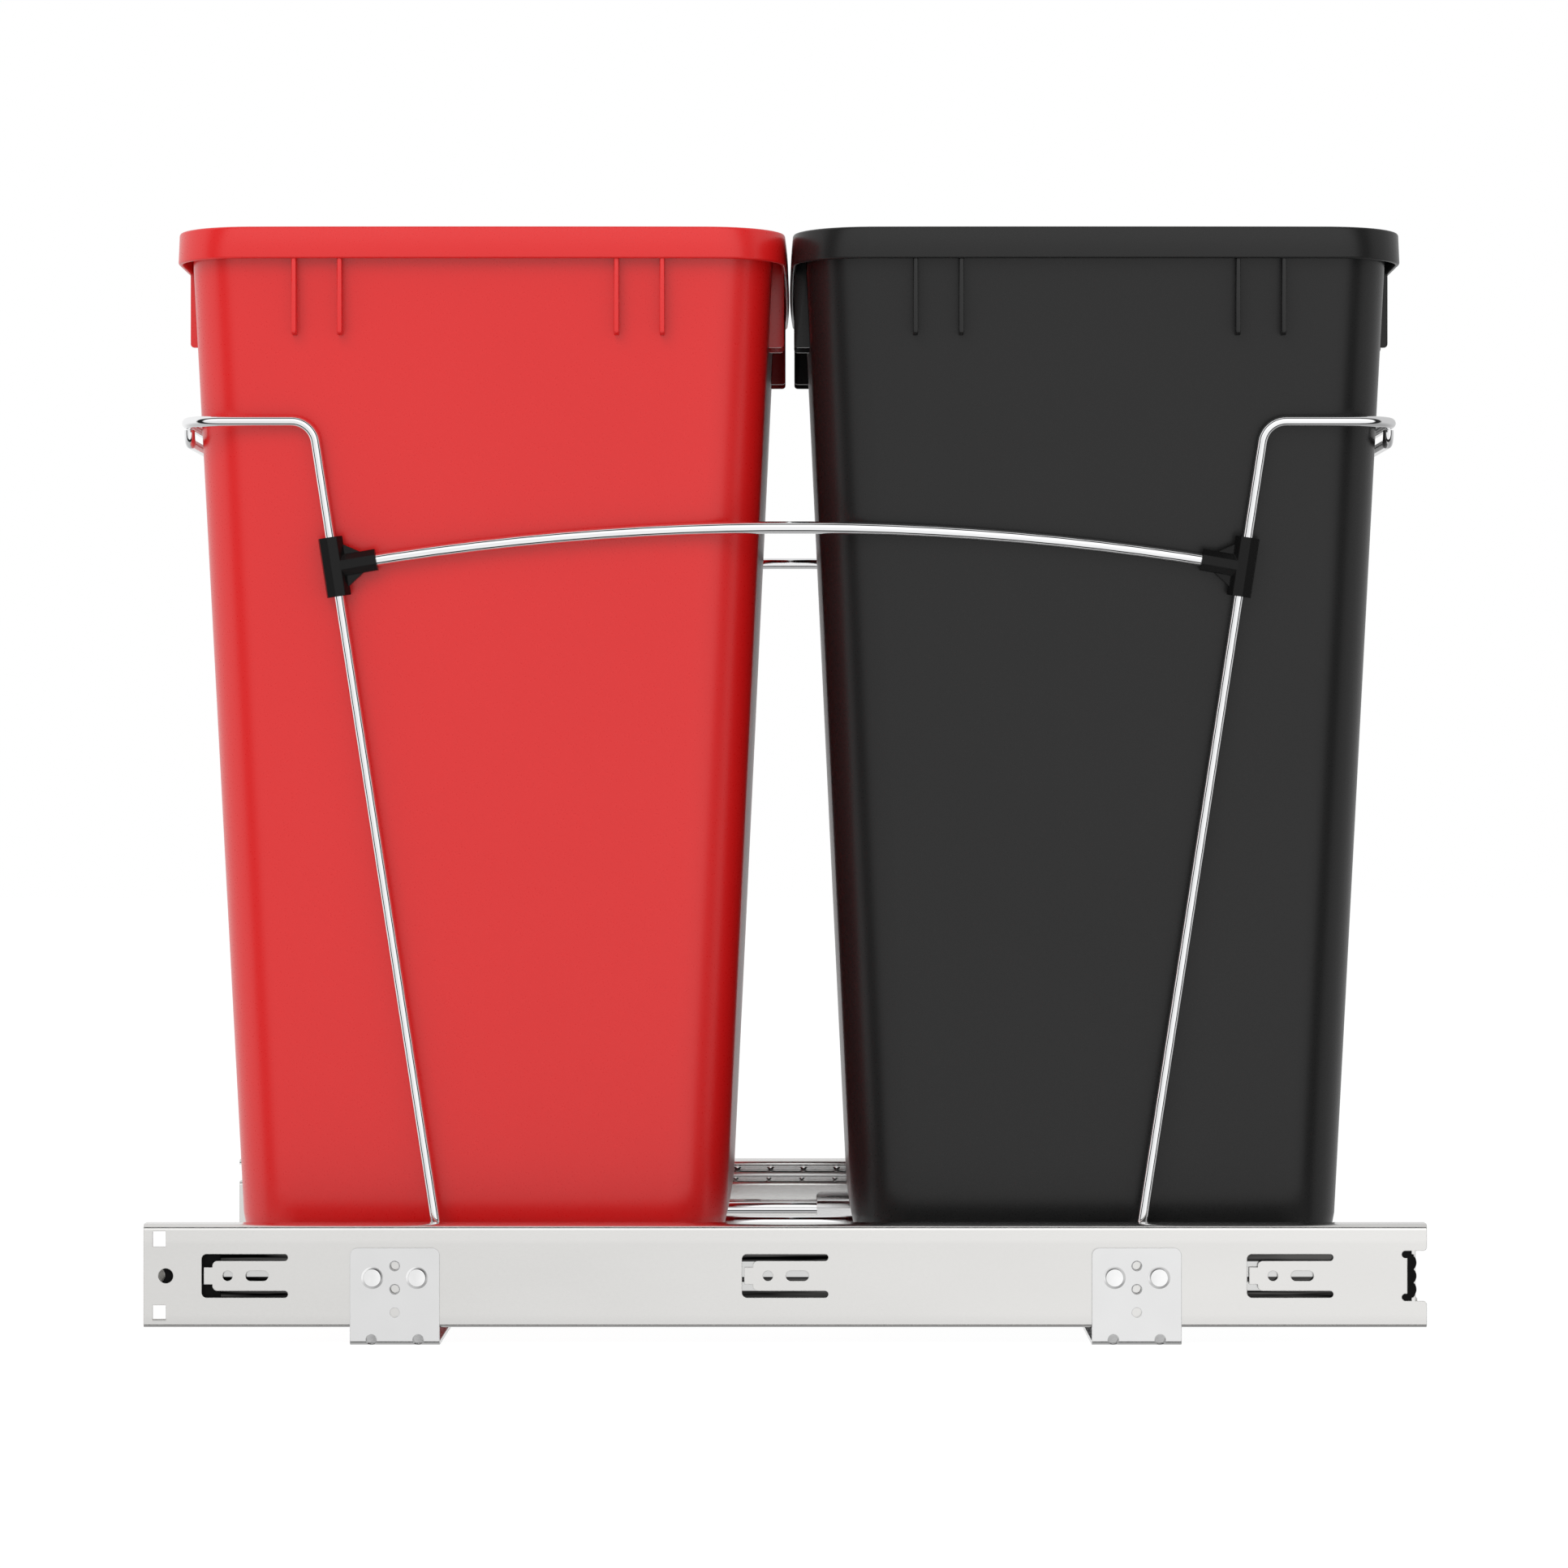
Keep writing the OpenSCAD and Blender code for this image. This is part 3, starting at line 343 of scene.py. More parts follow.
# %% [markdown]
# ## Finishes on the solids
# Every solid comes with a slot that names its material, and the finish of that name takes its place. Only
# the middle rails and the cages, the same steel as the outer rails, get the oily zinc with painted shade.

# %% Put the finishes on the solids
finishes = {**steel_finishes, **plastic_finishes}
inner_names = [name for name in nodes if "cage" in name or "middle_rail" in name]
for name, node in nodes.items():
    for slot in node.material_slots:
        slot_name = slot.material.name.split(".")[0]
        slot.material = inner_steel if name in inner_names else finishes[slot_name]
print("solids in oily zinc:", inner_names)

# %% [markdown]
# ## Working by hand in code
# Modelling with operators means selecting first and acting second, as a person does with a mouse. These
# helpers clear the selection, and pick faces, edges or corners by a test on their place.

# %% Selection helpers
FACING = 0.9


def clear_selection():
    if bpy.context.mode != "OBJECT":
        bpy.ops.object.mode_set(mode="OBJECT")
    bpy.ops.object.select_all(action="DESELECT")


def choose(piece):
    """Makes the piece the only one selected, in object mode."""
    clear_selection()
    bpy.context.view_layer.objects.active = piece
    piece.select_set(True)


def edit(piece):
    choose(piece)
    bpy.ops.object.mode_set(mode="EDIT")


def edit_all(piece):
    edit(piece)
    bpy.ops.mesh.select_all(action="SELECT")


def pick(piece, kind, test):
    """Selects the verts, edges or faces of the piece in edit mode that pass the test, and counts them."""
    bpy.ops.mesh.select_mode(type={"verts": "VERT", "edges": "EDGE", "faces": "FACE"}[kind])
    bpy.ops.mesh.select_all(action="DESELECT")
    mesh = bmesh.from_edit_mesh(piece.data)
    chosen = [part for part in getattr(mesh, kind) if test(part)]
    for part in chosen:
        part.select_set(True)
    mesh.select_flush_mode()
    bmesh.update_edit_mesh(piece.data)
    return len(chosen)


def faces_up(face):
    return face.normal.z > FACING


def faces_down(face):
    return face.normal.z < -FACING


def middle(part):
    """The middle of an edge or a face."""
    return sum((corner.co for corner in part.verts), Vector()) / len(part.verts)


def rise(edge):
    """How much higher one end of an edge is than the other."""
    return abs(edge.verts[0].co.z - edge.verts[1].co.z)


# %% [markdown]
# ## Starting, copying and finishing a piece
# A piece starts as a block or a disc in edit mode and gets its form from there. What occurs many times is
# made once and copied, with each copy moved in its mesh, so that the finished piece keeps its origin. A
# finished piece gets its finish, the body that it rides on and, if it has one, the solid that it stands for.

# %% Piece helpers
ROUND = 48
SMOOTH_ANGLE = math.radians(35)


def started(name):
    """Names the primitive that was just added and opens it, all selected."""
    piece = bpy.context.object
    piece.name = name
    edit_all(piece)
    return piece


def block(name, size):
    """A new box in edit mode, with its middle at the origin."""
    clear_selection()
    bpy.ops.mesh.primitive_cube_add(size=1, location=(0, 0, 0))
    piece = started(name)
    bpy.ops.transform.resize(value=size)
    return piece


def disc(name, radius, depth):
    """A new cylinder in edit mode, with its back at z = 0 and its face up."""
    clear_selection()
    bpy.ops.mesh.primitive_cylinder_add(vertices=ROUND, radius=radius, depth=depth, location=(0, 0, 0))
    piece = started(name)
    bpy.ops.transform.translate(value=(0, 0, depth / 2))
    return piece


def apply_modifier(piece, kind, **settings):
    choose(piece)
    modifier = piece.modifiers.new(kind.lower(), kind)
    for key, value in settings.items():
        setattr(modifier, key, value)
    bpy.ops.object.modifier_apply(modifier=modifier.name)


def join(pieces, name):
    clear_selection()
    for piece in pieces:
        piece.select_set(True)
    bpy.context.view_layer.objects.active = pieces[0]
    bpy.ops.object.join()
    pieces[0].name = name
    return pieces[0]


def along_axis(axis, amount):
    step = [0, 0, 0]
    step[axis] = amount
    return step


def placed(piece, name, shift, turned):
    """A copy of the piece, turned half round the upright axis if asked and shifted, in its mesh."""
    twin = piece.copy()
    twin.data = piece.data.copy()
    twin.name = name
    scene.collection.objects.link(twin)
    edit_all(twin)
    if turned:
        bpy.ops.transform.rotate(value=math.pi, orient_axis="Z", center_override=(0, 0, 0))
    bpy.ops.transform.translate(value=shift)
    clear_selection()
    return twin


def lay_down(piece):
    """Turns a piece that faces up so that it faces the near side, along -Y. With no window, Blender turns
    the other way round, so the angle is negative."""
    edit_all(piece)
    bpy.ops.transform.rotate(value=math.radians(-90), orient_axis="X", center_override=(0, 0, 0))
    clear_selection()


def in_mm(corner):
    return [round(value / MM, 2) for value in corner]


def dress(piece, slot_name, body_name, node_name=None):
    """Gives a finished piece its finish, its body and, if it has one, the solid that it stands for."""
    piece.data.materials.clear()
    piece.data.materials.append(finishes[slot_name])
    choose(piece)
    bpy.ops.object.shade_smooth_by_angle(angle=SMOOTH_ANGLE)
    clear_selection()
    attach(piece, body_name)
    if node_name:
        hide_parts(node_name)
    corners = [corner.co for corner in piece.data.vertices]
    low, high = ([limit(c[axis] for c in corners) for axis in range(3)] for limit in (min, max))
    print(piece.name, "from", in_mm(low), "to", in_mm(high))


# %% [markdown]
# ## The bins: body and rim
# Each bin is one moulding: a tapered body with slightly bowed sides and rounded corners, and a rim that
# turns out and down. It could be a box with a subdivision surface, but then the taper and the corner radius
# would drift from the real ones. Instead a box is tapered, its upright edges are bevelled to the corner
# radius, the sides are cut into columns, and each column is pushed out to bow the side. The skirt of the
# rim is a second, shorter band made the same way, with more bow at its short sides, where the two bins
# almost meet.

# %% Bin sizes
DRAFT = math.tan(math.radians(2.72))
OVERHANG = 6 * MM
WALL = 2.3 * MM
RIM_DROP = 14 * MM
RIM_FLARE = 0.5 * MM
CROWN = 0.5 * MM
RIM_CROWN = 1.1 * MM
BODY_CORNER = 27 * MM
RIM_CORNER = 34 * MM
FLOOR_EDGE = 16 * MM
FLOOR_STEPS = 6
CORNER_STEPS = 12
COLUMNS = 11
bin_low, bin_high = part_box("front_bin")
rim_half = Vector(((bin_high.x - bin_low.x) / 2, (bin_high.y - bin_low.y) / 2))
rim_top, bin_floor = bin_high.z, bin_low.z
flange_z = rim_top - WALL
skirt_low = rim_top - RIM_DROP
skirt_half = rim_half - Vector((WALL, WALL))
print("bin:", in_mm(bin_high - bin_low), "flange at", round(flange_z / MM, 2))

# %% Tapered bands
SAME = 0.01 * MM
LEVEL = 1 * MM
LONG_EDGE = 60 * MM


def body_half(z):
    """Half the size of the body at a height."""
    inset = OVERHANG + (rim_top - z) * DRAFT
    return rim_half - Vector((inset, inset))


def bow_side(piece, axis, crown):
    """Pushes the columns of two opposite sides out, by the crown at the middle of the side."""
    along = 1 - axis
    mesh = bmesh.from_edit_mesh(piece.data)
    levels = sorted({round(corner.co.z, 6) for corner in mesh.verts})
    for level in levels:
        ring = [c.co.copy() for c in mesh.verts if abs(c.co.z - level) < SAME]
        edge_place = max(place[axis] for place in ring)
        columns = sorted({round(place[along], 5) for place in ring if abs(place[axis] - edge_place) < SAME})
        reach = max(columns)
        for column in columns:
            push = crown * (1 - (column / reach) ** 2)
            for side in (-1, 1):
                pick(piece, "verts", lambda c: abs(c.co.z - level) < SAME
                     and abs(c.co[along] - column) < 2 * SAME
                     and abs(c.co[axis] - side * edge_place) < SAME)
                bpy.ops.transform.translate(value=along_axis(axis, side * push))


def band(name, low_z, low_half, high_z, high_half, corner, keep_floor, end_crown):
    """A tapered band with rounded corners and bowed sides, open at the top."""
    inset = Vector((CROWN, CROWN))
    low, high = low_half - inset, high_half - inset
    piece = block(name, (2 * high.x, 2 * high.y, high_z - low_z))
    bpy.ops.transform.translate(value=(0, 0, (low_z + high_z) / 2))
    pick(piece, "faces", faces_down)
    bpy.ops.transform.resize(value=(low.x / high.x, low.y / high.y, 1))
    pick(piece, "faces", lambda face: faces_up(face) or (faces_down(face) and not keep_floor))
    bpy.ops.mesh.delete(type="ONLY_FACE")
    pick(piece, "edges", lambda edge: rise(edge) > LEVEL)
    bpy.ops.mesh.bevel(offset=corner, offset_type="OFFSET", segments=CORNER_STEPS, affect="EDGES")
    pick(piece, "edges", lambda edge: edge.calc_length() > LONG_EDGE and rise(edge) < LEVEL)
    bpy.ops.mesh.subdivide(number_cuts=COLUMNS)
    bow_side(piece, 0, end_crown)
    bow_side(piece, 1, CROWN)
    clear_selection()
    return piece


# %% [markdown]
# ## The bins: one sheet
# The floor's edge is rounded, and body and skirt are bridged into one sheet. Two loops in one plane give the
# bridge no direction and it twists, so the skirt waits a little lower and is lifted after.

# %% Bin sheet
LOWERED = 6 * MM
UPRIGHT = 0.2
body = band("bin_body", bin_floor, body_half(bin_floor), flange_z, body_half(flange_z),
            corner=BODY_CORNER, keep_floor=True, end_crown=CROWN)
edit(body)
pick(body, "faces", faces_down)
bpy.ops.mesh.bevel(offset=FLOOR_EDGE, offset_type="OFFSET", segments=FLOOR_STEPS, affect="EDGES")

skirt = band("bin_skirt", skirt_low - LOWERED, skirt_half,
             flange_z - LOWERED, skirt_half - Vector((RIM_FLARE, RIM_FLARE)),
             corner=RIM_CORNER - WALL, keep_floor=False, end_crown=RIM_CROWN)
shell = join([body, skirt], "bin_shell")
edit(shell)
loops = pick(shell, "edges", lambda edge: edge.is_boundary and middle(edge).z > flange_z - LOWERED - LEVEL)
bpy.ops.mesh.bridge_edge_loops()
pick(shell, "verts", lambda corner: skirt_low - 2 * LOWERED < corner.co.z < flange_z - LEVEL)
bpy.ops.transform.translate(value=(0, 0, LOWERED))

bpy.ops.mesh.select_all(action="SELECT")
bpy.ops.mesh.remove_doubles(threshold=SAME)
bpy.ops.mesh.normals_make_consistent(inside=False)
mesh = bmesh.from_edit_mesh(shell.data)
side_wall = max(mesh.faces, key=lambda face: face.calc_area() if abs(face.normal.z) < UPRIGHT else 0)
if side_wall.normal.dot(Vector((*middle(side_wall).xy, 0))) < 0:
    bpy.ops.mesh.flip_normals()
print("bin sheet:", len(mesh.faces), "faces, bridged edges:", loops)

# %% [markdown]
# ## The bins: wall and ribs
# The sheet becomes a moulding when it gets a wall. Solidify grows the wall inwards from the outside, so the
# outer size stays, and a bevel breaks the rim's edges as a mould does. Under the rim, thin stacking ribs
# keep nested bins from jamming. One rib is made, with its lower corner rounded, and copied to its places.

# %% Bin wall
BROKEN_EDGE = 1.0 * MM
SHARP = math.radians(40)
apply_modifier(shell, "SOLIDIFY", thickness=WALL, offset=-1.0, use_even_offset=True,
               use_quality_normals=True)
apply_modifier(shell, "BEVEL", width=BROKEN_EDGE, segments=3, limit_method="ANGLE", angle_limit=SHARP)
print("bin wall:", len(shell.data.polygons), "faces")

# %% Bin ribs
RIB = 2 * MM
RIB_DROP = 47 * MM
RIB_SETBACK = 1.5 * MM
RIB_ROOT = 0.5 * MM
RIB_FOOT = 1.5 * MM
RIB_EDGE = 0.4 * MM
RIB_PLACES = ((1, (-80.5, -60.5, 60.5, 80.5)), (0, (-113, -87, 87, 113)))
CLOSE = 0.1 * MM
rib_low, rib_high = rim_top - RIB_DROP, flange_z + RIB_ROOT


def make_rib(name, axis):
    """One rib that stands on the side at +axis, in the middle of that side."""
    outer = rim_half[axis] - RIB_SETBACK
    inner = body_half(rib_low)[axis] - CROWN
    size = [RIB, RIB, rib_high - rib_low]
    size[axis] = outer - inner
    place = [0, 0, (rib_low + rib_high) / 2]
    place[axis] = (outer + inner) / 2
    piece = block(name, size)
    bpy.ops.transform.translate(value=place)
    pick(piece, "edges", lambda edge: middle(edge).z < rib_low + CLOSE
         and abs(middle(edge)[axis] - outer) < CLOSE)
    bpy.ops.mesh.bevel(offset=RIB_FOOT, segments=4, affect="EDGES")
    pick(piece, "edges", lambda edge: middle(edge)[axis] > outer - RIB_FOOT - CLOSE)
    bpy.ops.mesh.bevel(offset=RIB_EDGE, segments=2, affect="EDGES")
    clear_selection()
    return piece


ribs = []
for axis, places in RIB_PLACES:
    rib = make_rib("rib", axis)
    for place in places:
        shift = along_axis(1 - axis, place * MM)
        ribs += [placed(rib, "rib_copy", shift, turned) for turned in (False, True)]
    bpy.data.objects.remove(rib)
shell = join([shell] + ribs, "bin_shell")
print("ribs on a bin:", len(ribs), "faces:", len(shell.data.polygons))

# %% [markdown]
# ## Two bins from one mould
# The front bin is red and the rear one black, from the same mould. The finished shell is copied, moved into
# place in its mesh, shaded smooth except at real edges, and each copy stands for its CAD solid.

# %% Place the bins
for node_name, slot_name in (("front_bin", "red_plastic"), ("rear_bin", "black_plastic")):
    low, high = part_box(node_name)
    moulding = placed(shell, node_name.replace("bin", "bin_moulding"), ((low.x + high.x) / 2, 0, 0), False)
    dress(moulding, slot_name, node_name, node_name)
bpy.data.objects.remove(shell)

# %% [markdown]
# ## Rivets
# Each strap is held to its rail by two rivets on either side. A real head is pressed: a flat face, a sloping
# flank and a soft edge between them, on a short straight collar. A disc is started at the collar's size, its
# face is extruded and drawn in, the edges are bevelled, and the shank is inset and extruded from its back.
# The rivet is laid on its side, and one rivet is then copied to its eight places, turned half round for the
# far side.

# %% Pins with a head
def headed_pin(name, head_radius, head_height, collar, flat_radius, shank_radius, shank_length, soft):
    """A round head on a shank, with the back of the head at z = 0 and its face up."""
    piece = disc(name, head_radius, collar)
    pick(piece, "faces", faces_up)
    bpy.ops.mesh.extrude_region_move(TRANSFORM_OT_translate={"value": (0, 0, head_height - collar)})
    drawn_in = flat_radius / head_radius
    bpy.ops.transform.resize(value=(drawn_in, drawn_in, 1))
    bpy.ops.mesh.bevel(offset=soft, segments=4, affect="EDGES")
    pick(piece, "faces", faces_down)
    bpy.ops.mesh.inset(thickness=head_radius - shank_radius)
    bpy.ops.mesh.extrude_region_move(TRANSFORM_OT_translate={"value": (0, 0, -shank_length)})
    clear_selection()
    return piece


def strap_ends():
    """Each bent-up end of the two straps: its middle along X, its outer face along Y, and its side."""
    for strap_name in ("front_cross_strap", "rear_cross_strap"):
        low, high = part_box(strap_name)
        for side in (-1, 1):
            yield (low.x + high.x) / 2, high.y, side


# %% Rivets
RIVET_PITCH = 19.4 * MM
RIVET_HEAD = 1.7 * MM
rivet_low, rivet_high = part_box("strap_rivets")
rivet = headed_pin("rivet", head_radius=4.8 * MM, head_height=RIVET_HEAD, collar=0.75 * MM,
                   flat_radius=3.7 * MM, shank_radius=2.4 * MM, shank_length=2.9 * MM, soft=0.12 * MM)
lay_down(rivet)
rivets = []
for strap_x, _, side in strap_ends():
    for step in (-0.5, 0.5):
        place = (strap_x + step * RIVET_PITCH, side * (rivet_high.y - RIVET_HEAD),
                 (rivet_low.z + rivet_high.z) / 2)
        rivets.append(placed(rivet, "rivet_copy", place, side > 0))
bpy.data.objects.remove(rivet)
dress(join(rivets, "rivet_set"), "fastener_steel", "cabinet_base", "strap_rivets")
print("strap_rivets from", in_mm(rivet_low), "to", in_mm(rivet_high))

# %% [markdown]
# ## Rims of the spare holes
# The spare holes in the straps are punched, and the punch leaves a low rim round each of them. The rim is a
# disc whose face is drawn in, so that its flank slopes. Both ends are inset to the hole's size, the two
# faces inside are deleted, and their edges are bridged into the bore.

# %% Hole rims
HOLE_RADIUS = 1.82 * MM
HOLE_HEIGHTS = (34.5 * MM, 24.35 * MM)
RIM_WIDTH = 0.46 * MM
RIM_FLANK = 0.4 * MM
RIM_RISE = 0.24 * MM
rim_radius = HOLE_RADIUS + RIM_WIDTH
rim = disc("hole_rim", rim_radius, RIM_RISE)
pick(rim, "faces", faces_up)
drawn_in = 1 - RIM_FLANK / rim_radius
bpy.ops.transform.resize(value=(drawn_in, drawn_in, 1))
bpy.ops.mesh.inset(thickness=RIM_WIDTH - RIM_FLANK)
bpy.ops.mesh.delete(type="FACE")
pick(rim, "faces", faces_down)
bpy.ops.mesh.inset(thickness=RIM_WIDTH)
bpy.ops.mesh.delete(type="FACE")
pick(rim, "edges", lambda edge: edge.is_boundary)
bpy.ops.mesh.bridge_edge_loops()
bpy.ops.mesh.select_all(action="SELECT")
bpy.ops.mesh.normals_make_consistent(inside=False)
lay_down(rim)

rims = [placed(rim, "rim_copy", (strap_x, side * strap_face, hole_z), side > 0)
        for strap_x, strap_face, side in strap_ends() for hole_z in HOLE_HEIGHTS]
bpy.data.objects.remove(rim)
dress(join(rims, "hole_rim_set"), "strap_steel", "cabinet_base")

# %% [markdown]
# ## Darts in the strap bends
# Where a strap turns in under the rail, two darts are pressed into each bend to stiffen it, and they show as
# small grey dimples with a round top. The solids have the round openings. A dart closes each of them from
# behind: a block cut into columns and rows, dished along its middle, and leaned back row by row.

# %% Darts
DART_SIZE = (5.0 * MM, 0.5 * MM, 4.6 * MM)
DART_CUTS = 3
DART_DISH = 0.12 * MM
DART_LEAN = 0.9 * MM
DART_PITCH = 20.4 * MM
DART_HEIGHT = 3.0 * MM
dart = block("dart", DART_SIZE)
bpy.ops.mesh.subdivide(number_cuts=DART_CUTS)
pick(dart, "verts", lambda corner: abs(corner.co.x) < CLOSE)
bpy.ops.transform.translate(value=(0, DART_DISH, 0))
for row in range(DART_CUTS + 2):
    share = row / (DART_CUTS + 1) - 0.5
    pick(dart, "verts", lambda corner: abs(corner.co.z - share * DART_SIZE[2]) < CLOSE)
    bpy.ops.transform.translate(value=(0, -2 * share * DART_LEAN, 0))
clear_selection()

rail_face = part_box("left_cabinet_rail")[1].y
darts = [placed(dart, "dart_copy", (strap_x + step * DART_PITCH, side * rail_face, DART_HEIGHT), side > 0)
         for strap_x, _, side in strap_ends() for step in (-0.5, 0.5)]
bpy.data.objects.remove(dart)
dress(join(darts, "bend_dart_set"), "strap_steel", "cabinet_base")

# %% [markdown]
# ## Screws
# Six pan-head screws on each side hold the hooked tabs to the drawer rail. What makes such a small round
# part read as a screw is its cross recess. The head is bevelled into a pan shape, and a cross of two tapered
# bars is cut out of it with a Boolean modifier.

# %% One screw
SCREW_HEAD = 2.0 * MM
RECESS_SIZE = (3.8 * MM, 0.9 * MM, 1.8 * MM)
RECESS_TAPER = (0.45, 0.6, 1)
screw = headed_pin("screw", head_radius=3.25 * MM, head_height=SCREW_HEAD, collar=0.3 * MM,
                   flat_radius=3.0 * MM, shank_radius=1.75 * MM, shank_length=2.6 * MM, soft=0.9 * MM)
for quarter in (0, 90):
    bar = block("recess_bar", RECESS_SIZE)
    pick(bar, "faces", faces_down)
    bpy.ops.transform.resize(value=RECESS_TAPER)
    bpy.ops.mesh.select_all(action="SELECT")
    bpy.ops.transform.translate(value=(0, 0, SCREW_HEAD))
    bpy.ops.transform.rotate(value=math.radians(quarter), orient_axis="Z", center_override=(0, 0, 0))
    apply_modifier(screw, "BOOLEAN", operation="DIFFERENCE", solver="EXACT", object=bar)
    bpy.data.objects.remove(bar)
lay_down(screw)
print("screw:", len(screw.data.polygons), "faces")

# %% Screws in their places
TAB_PLACES = (-206.8, 30.0, 210.0)
SCREW_STEP = 7.2
for hand, side in (("right", -1), ("left", 1)):
    node_name = hand + "_tab_screws"
    low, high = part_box(node_name)
    face_y = high.y if side < 0 else low.y
    head_back = face_y + side * SCREW_HEAD
    screws = []
    for tab_x in TAB_PLACES:
        for step in (-SCREW_STEP, SCREW_STEP):
            place = ((tab_x + step) * MM, head_back, (low.z + high.z) / 2)
            screws.append(placed(screw, "screw_copy", place, side < 0))
    dress(join(screws, hand + "_screw_set"), "fastener_steel", "carriage", node_name)
    print(node_name, "from", in_mm(low), "to", in_mm(high))
bpy.data.objects.remove(screw)

# %% [markdown]
# ## Weld beads
# The wires of the frame are spot welded where they cross, before they are plated. Each weld squeezes a small
# saddle of metal out between the two wires. A flat block is cut into a grid, its long sides are drawn in at
# the middle, its face and back are pressed closer there, and a subdivision surface rounds it. It is copied
# to every crossing of a cross wire with a wire below it.

# %% One bead
BEAD_SIZE = (5.4 * MM, 4.4 * MM, 2.0 * MM)
BEAD_WAIST = 0.82
BEAD_SADDLE = 0.7
bead = block("weld_bead", BEAD_SIZE)
bpy.ops.mesh.subdivide(number_cuts=2)
pick(bead, "verts", lambda corner: abs(corner.co.x) < 0.3 * BEAD_SIZE[0]
     and abs(corner.co.y) > 0.45 * BEAD_SIZE[1])
bpy.ops.transform.resize(value=(1, BEAD_WAIST, 1))
pick(bead, "faces", lambda face: abs(face.normal.z) > FACING
     and middle(face).length < 0.6 * BEAD_SIZE[2])
bpy.ops.transform.resize(value=(1, 1, BEAD_SADDLE))
apply_modifier(bead, "SUBSURF", levels=2, render_levels=2)
print("bead:", len(bead.data.polygons), "faces")

# %% Beads at the crossings
CROSS_PLACES = (-225.1, -45.1, 48.3, 228.3)
WIRES_BELOW = ("right_base_wire", "right_inner_wire", "left_inner_wire", "left_base_wire")
wire_boxes = [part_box(name) for name in WIRES_BELOW]
wire_rows = [(low.y + high.y) / 2 for low, high in wire_boxes]
touch_z = wire_boxes[0][1].z
beads = [placed(bead, "bead_copy", (cross_x * MM, wire_y, touch_z), False)
         for cross_x in CROSS_PLACES for wire_y in wire_rows]
bpy.data.objects.remove(bead)
dress(join(beads, "weld_bead_set"), "chrome_wire", "carriage")
print("weld beads:", len(beads), "at height", round(touch_z / MM, 2))

# %% [markdown]
# ## Studio
# The object stands on white in even light from all round, and every colour then shows about its own value.
# Chrome in a pure white room would vanish, so what metal and plastic mirror is not one white. A wide light
# stands in front, stronger in its upper part and a little weaker to the left. A dark gap runs all round it,
# and beyond the gap the left is bright, the right is grey, and below is dimmer than above. The gap deepens
# the colour on each corner of a bin, and draws the fine lines along the wires and the edges of the sheet
# steel.

# %% Surround
AMBIENT = 0.86
GAP = 0.02
SKYLIGHT = 1.3
FRONT_LEFT, FRONT_RIGHT = 0.89, 1.04
LEFT, RIGHT, BELOW = 0.95, 0.6, 0.6
FRONT_EDGE = (-0.70, -0.58)
FRONT_CLIMB = (0.05, 0.35)
FRONT_SPAN = (-0.12, 0.12)
BEYOND_EDGE = (-0.38, -0.24)
BEYOND_SPAN = (-0.5, 0.5)
BEYOND_CLIMB = (-0.75, -0.1)
WHITE = (1, 1, 1, 1)
world = bpy.data.worlds.new("studio")
scene.world = world
world.use_nodes = True
world.cycles.sampling_method = "NONE"
surround = Shader(world.node_tree)
heading = surround.node("ShaderNodeTexCoord", out="Generated")
across, away, upward = (surround.node("ShaderNodeSeparateXYZ", inputs={0: heading}, out=axis)
                        for axis in "XYZ")
front = surround.ramp(away, *FRONT_EDGE, 1.0, GAP) * surround.ramp(upward, *FRONT_CLIMB, 1.0, SKYLIGHT)
front = front * surround.ramp(across, *FRONT_SPAN, FRONT_LEFT, FRONT_RIGHT)
beyond = surround.ramp(away, *BEYOND_EDGE, 0.0, 1.0) * surround.ramp(across, *BEYOND_SPAN, LEFT, RIGHT)
beyond = beyond * surround.ramp(upward, *BEYOND_CLIMB, BELOW, 1.0)
mirrored = front + beyond
seen = surround.node("ShaderNodeLightPath", out="Is Camera Ray")
through = surround.node("ShaderNodeLightPath", out="Is Transmission Ray")
glossy = surround.node("ShaderNodeLightPath", out="Is Glossy Ray")
strength = AMBIENT + (1 - AMBIENT) * (seen + through) + glossy * (mirrored - AMBIENT)
light = surround.node("ShaderNodeBackground", inputs={"Color": WHITE, "Strength": strength})
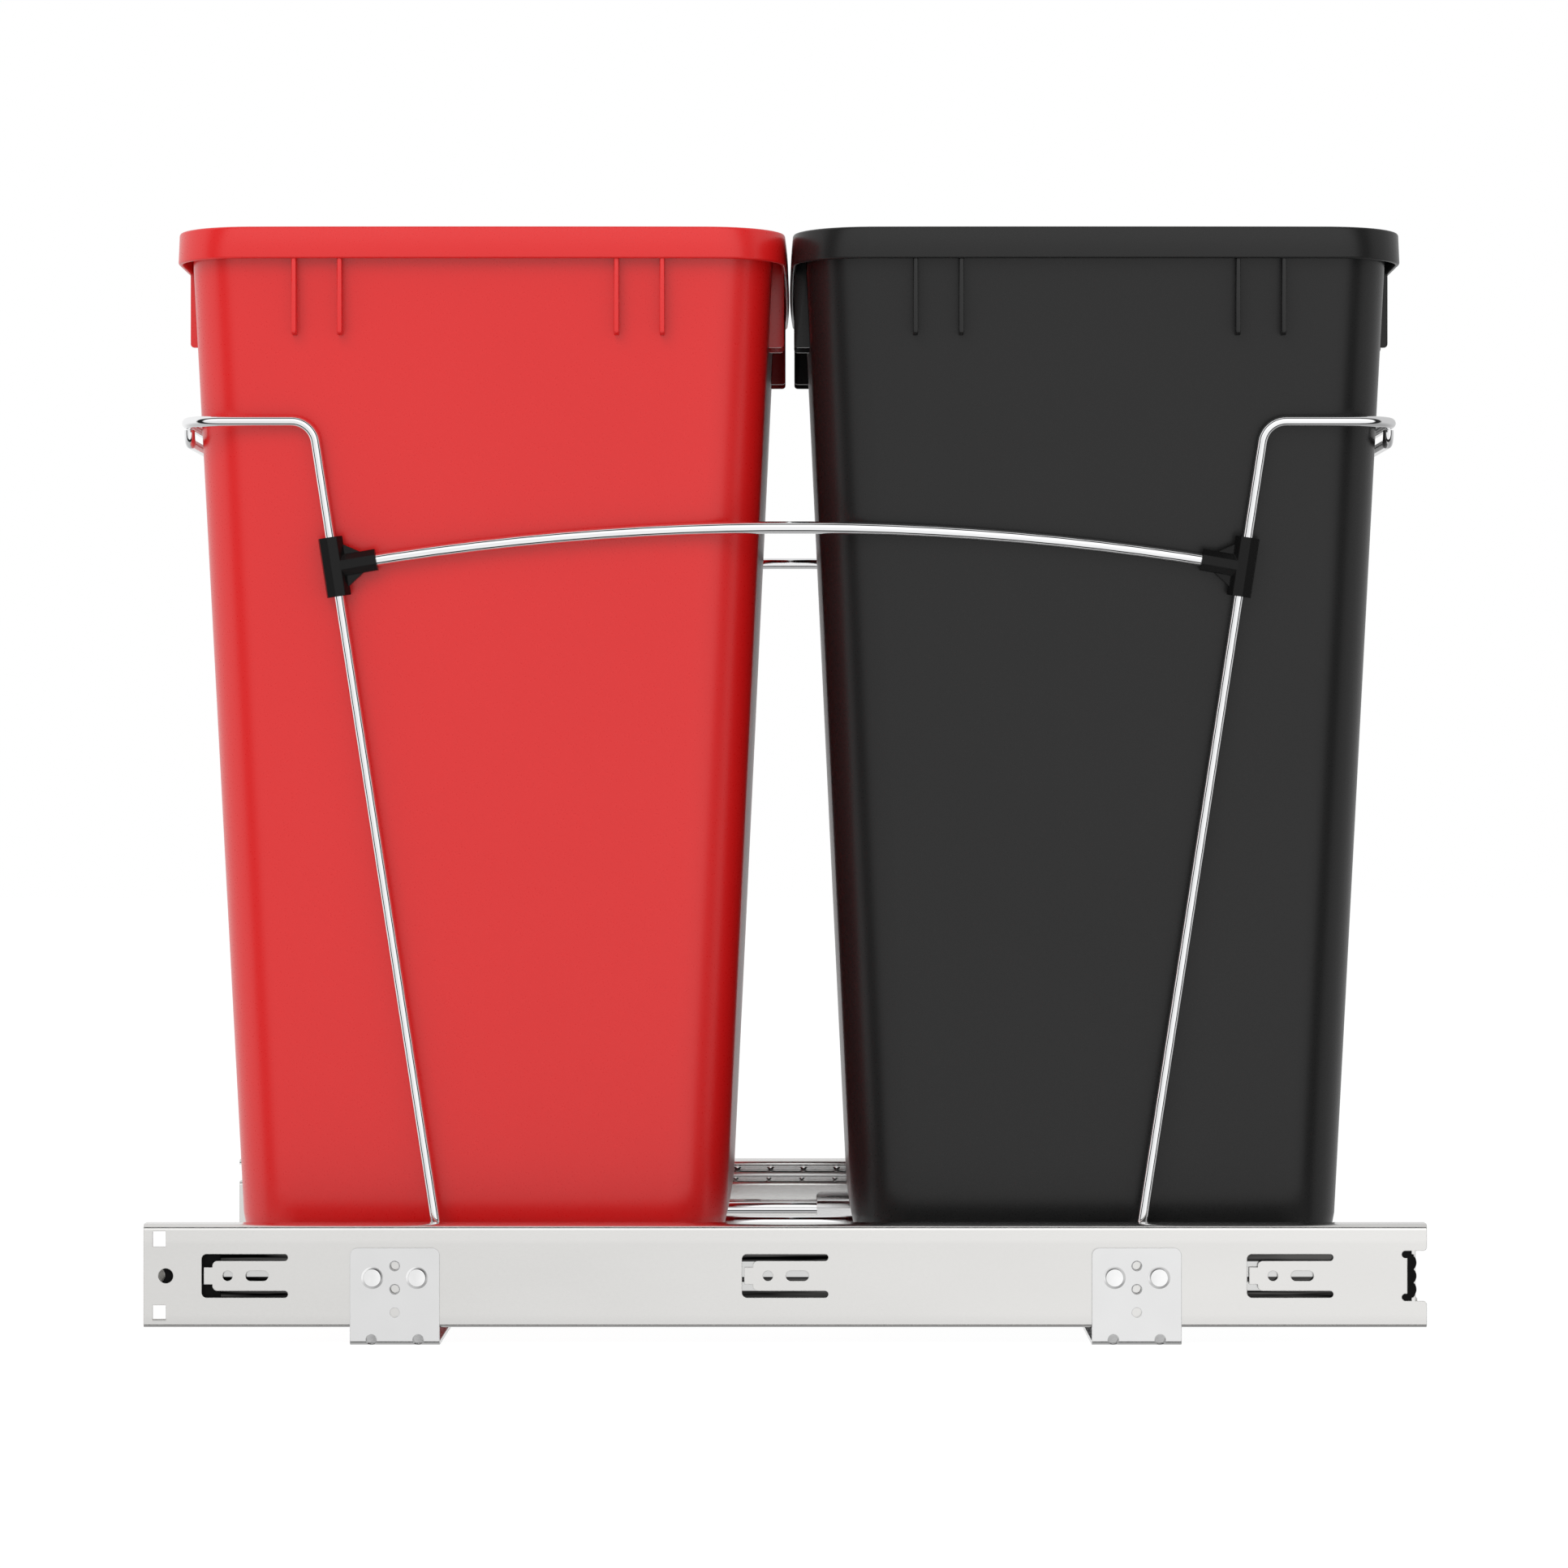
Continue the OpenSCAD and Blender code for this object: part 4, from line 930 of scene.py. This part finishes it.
surround.node("ShaderNodeOutputWorld", inputs={"Surface": light})
print("surround: ambient", AMBIENT, "gap", GAP)

# %% [markdown]
# ## Floor
# The floor is white to the camera, and its matt part keeps a very faint shadow. Reflections pass through it
# and read the surround alone, so the lower bends of the rails get the same fine dark line as the upper ones.

# %% Floor
FLOOR_SIDE = 16
FLOOR_MATT = (0.85, 0.85, 0.85, 1)
FLOOR_GLOW = 1.06
GLOW_SHARE = 0.92
clear_selection()
bpy.ops.mesh.primitive_plane_add(size=1, location=(0, 0, 0))
floor = started("studio_floor")
bpy.ops.transform.resize(value=(FLOOR_SIDE, FLOOR_SIDE, 1))
clear_selection()
white = bpy.data.materials.new("white_floor")
white.use_nodes = True
paint = Shader(white.node_tree)
seen = paint.node("ShaderNodeLightPath", out="Is Camera Ray")
matt = paint.node("ShaderNodeBsdfDiffuse", inputs={"Color": FLOOR_MATT})
glow = paint.node("ShaderNodeEmission", inputs={"Color": WHITE, "Strength": FLOOR_GLOW})
mixed = paint.node("ShaderNodeMixShader", inputs={0: seen * GLOW_SHARE, 1: matt, 2: glow})
paint.node("ShaderNodeOutputMaterial", inputs={"Surface": mixed})
floor.data.materials.append(white)
floor.visible_glossy = False
print("floor:", [round(v, 2) for v in floor.dimensions])

# %% [markdown]
# ## Lamp
# One wide soft lamp, high in front and to the left, gives the matt plastic a little more light than the
# surround does. Mirrors don't show it.

# %% Lamp
LAMP_SIDE = 1.8
LAMP_POWER = 24
LAMP_PLACE = (-0.9, -2.4, 1.9)
LAMP_TILT, LAMP_TURN = 58, -20
key_lamp = bpy.data.lights.new("key_lamp", "AREA")
key_lamp.shape = "RECTANGLE"
key_lamp.size = key_lamp.size_y = LAMP_SIDE
key_lamp.energy = LAMP_POWER
key = bpy.data.objects.new("key_lamp", key_lamp)
key.location = LAMP_PLACE
key.rotation_euler = (math.radians(LAMP_TILT), 0, math.radians(LAMP_TURN))
key.visible_glossy = False
scene.collection.objects.link(key)
print("lamp:", key_lamp.energy, "W")
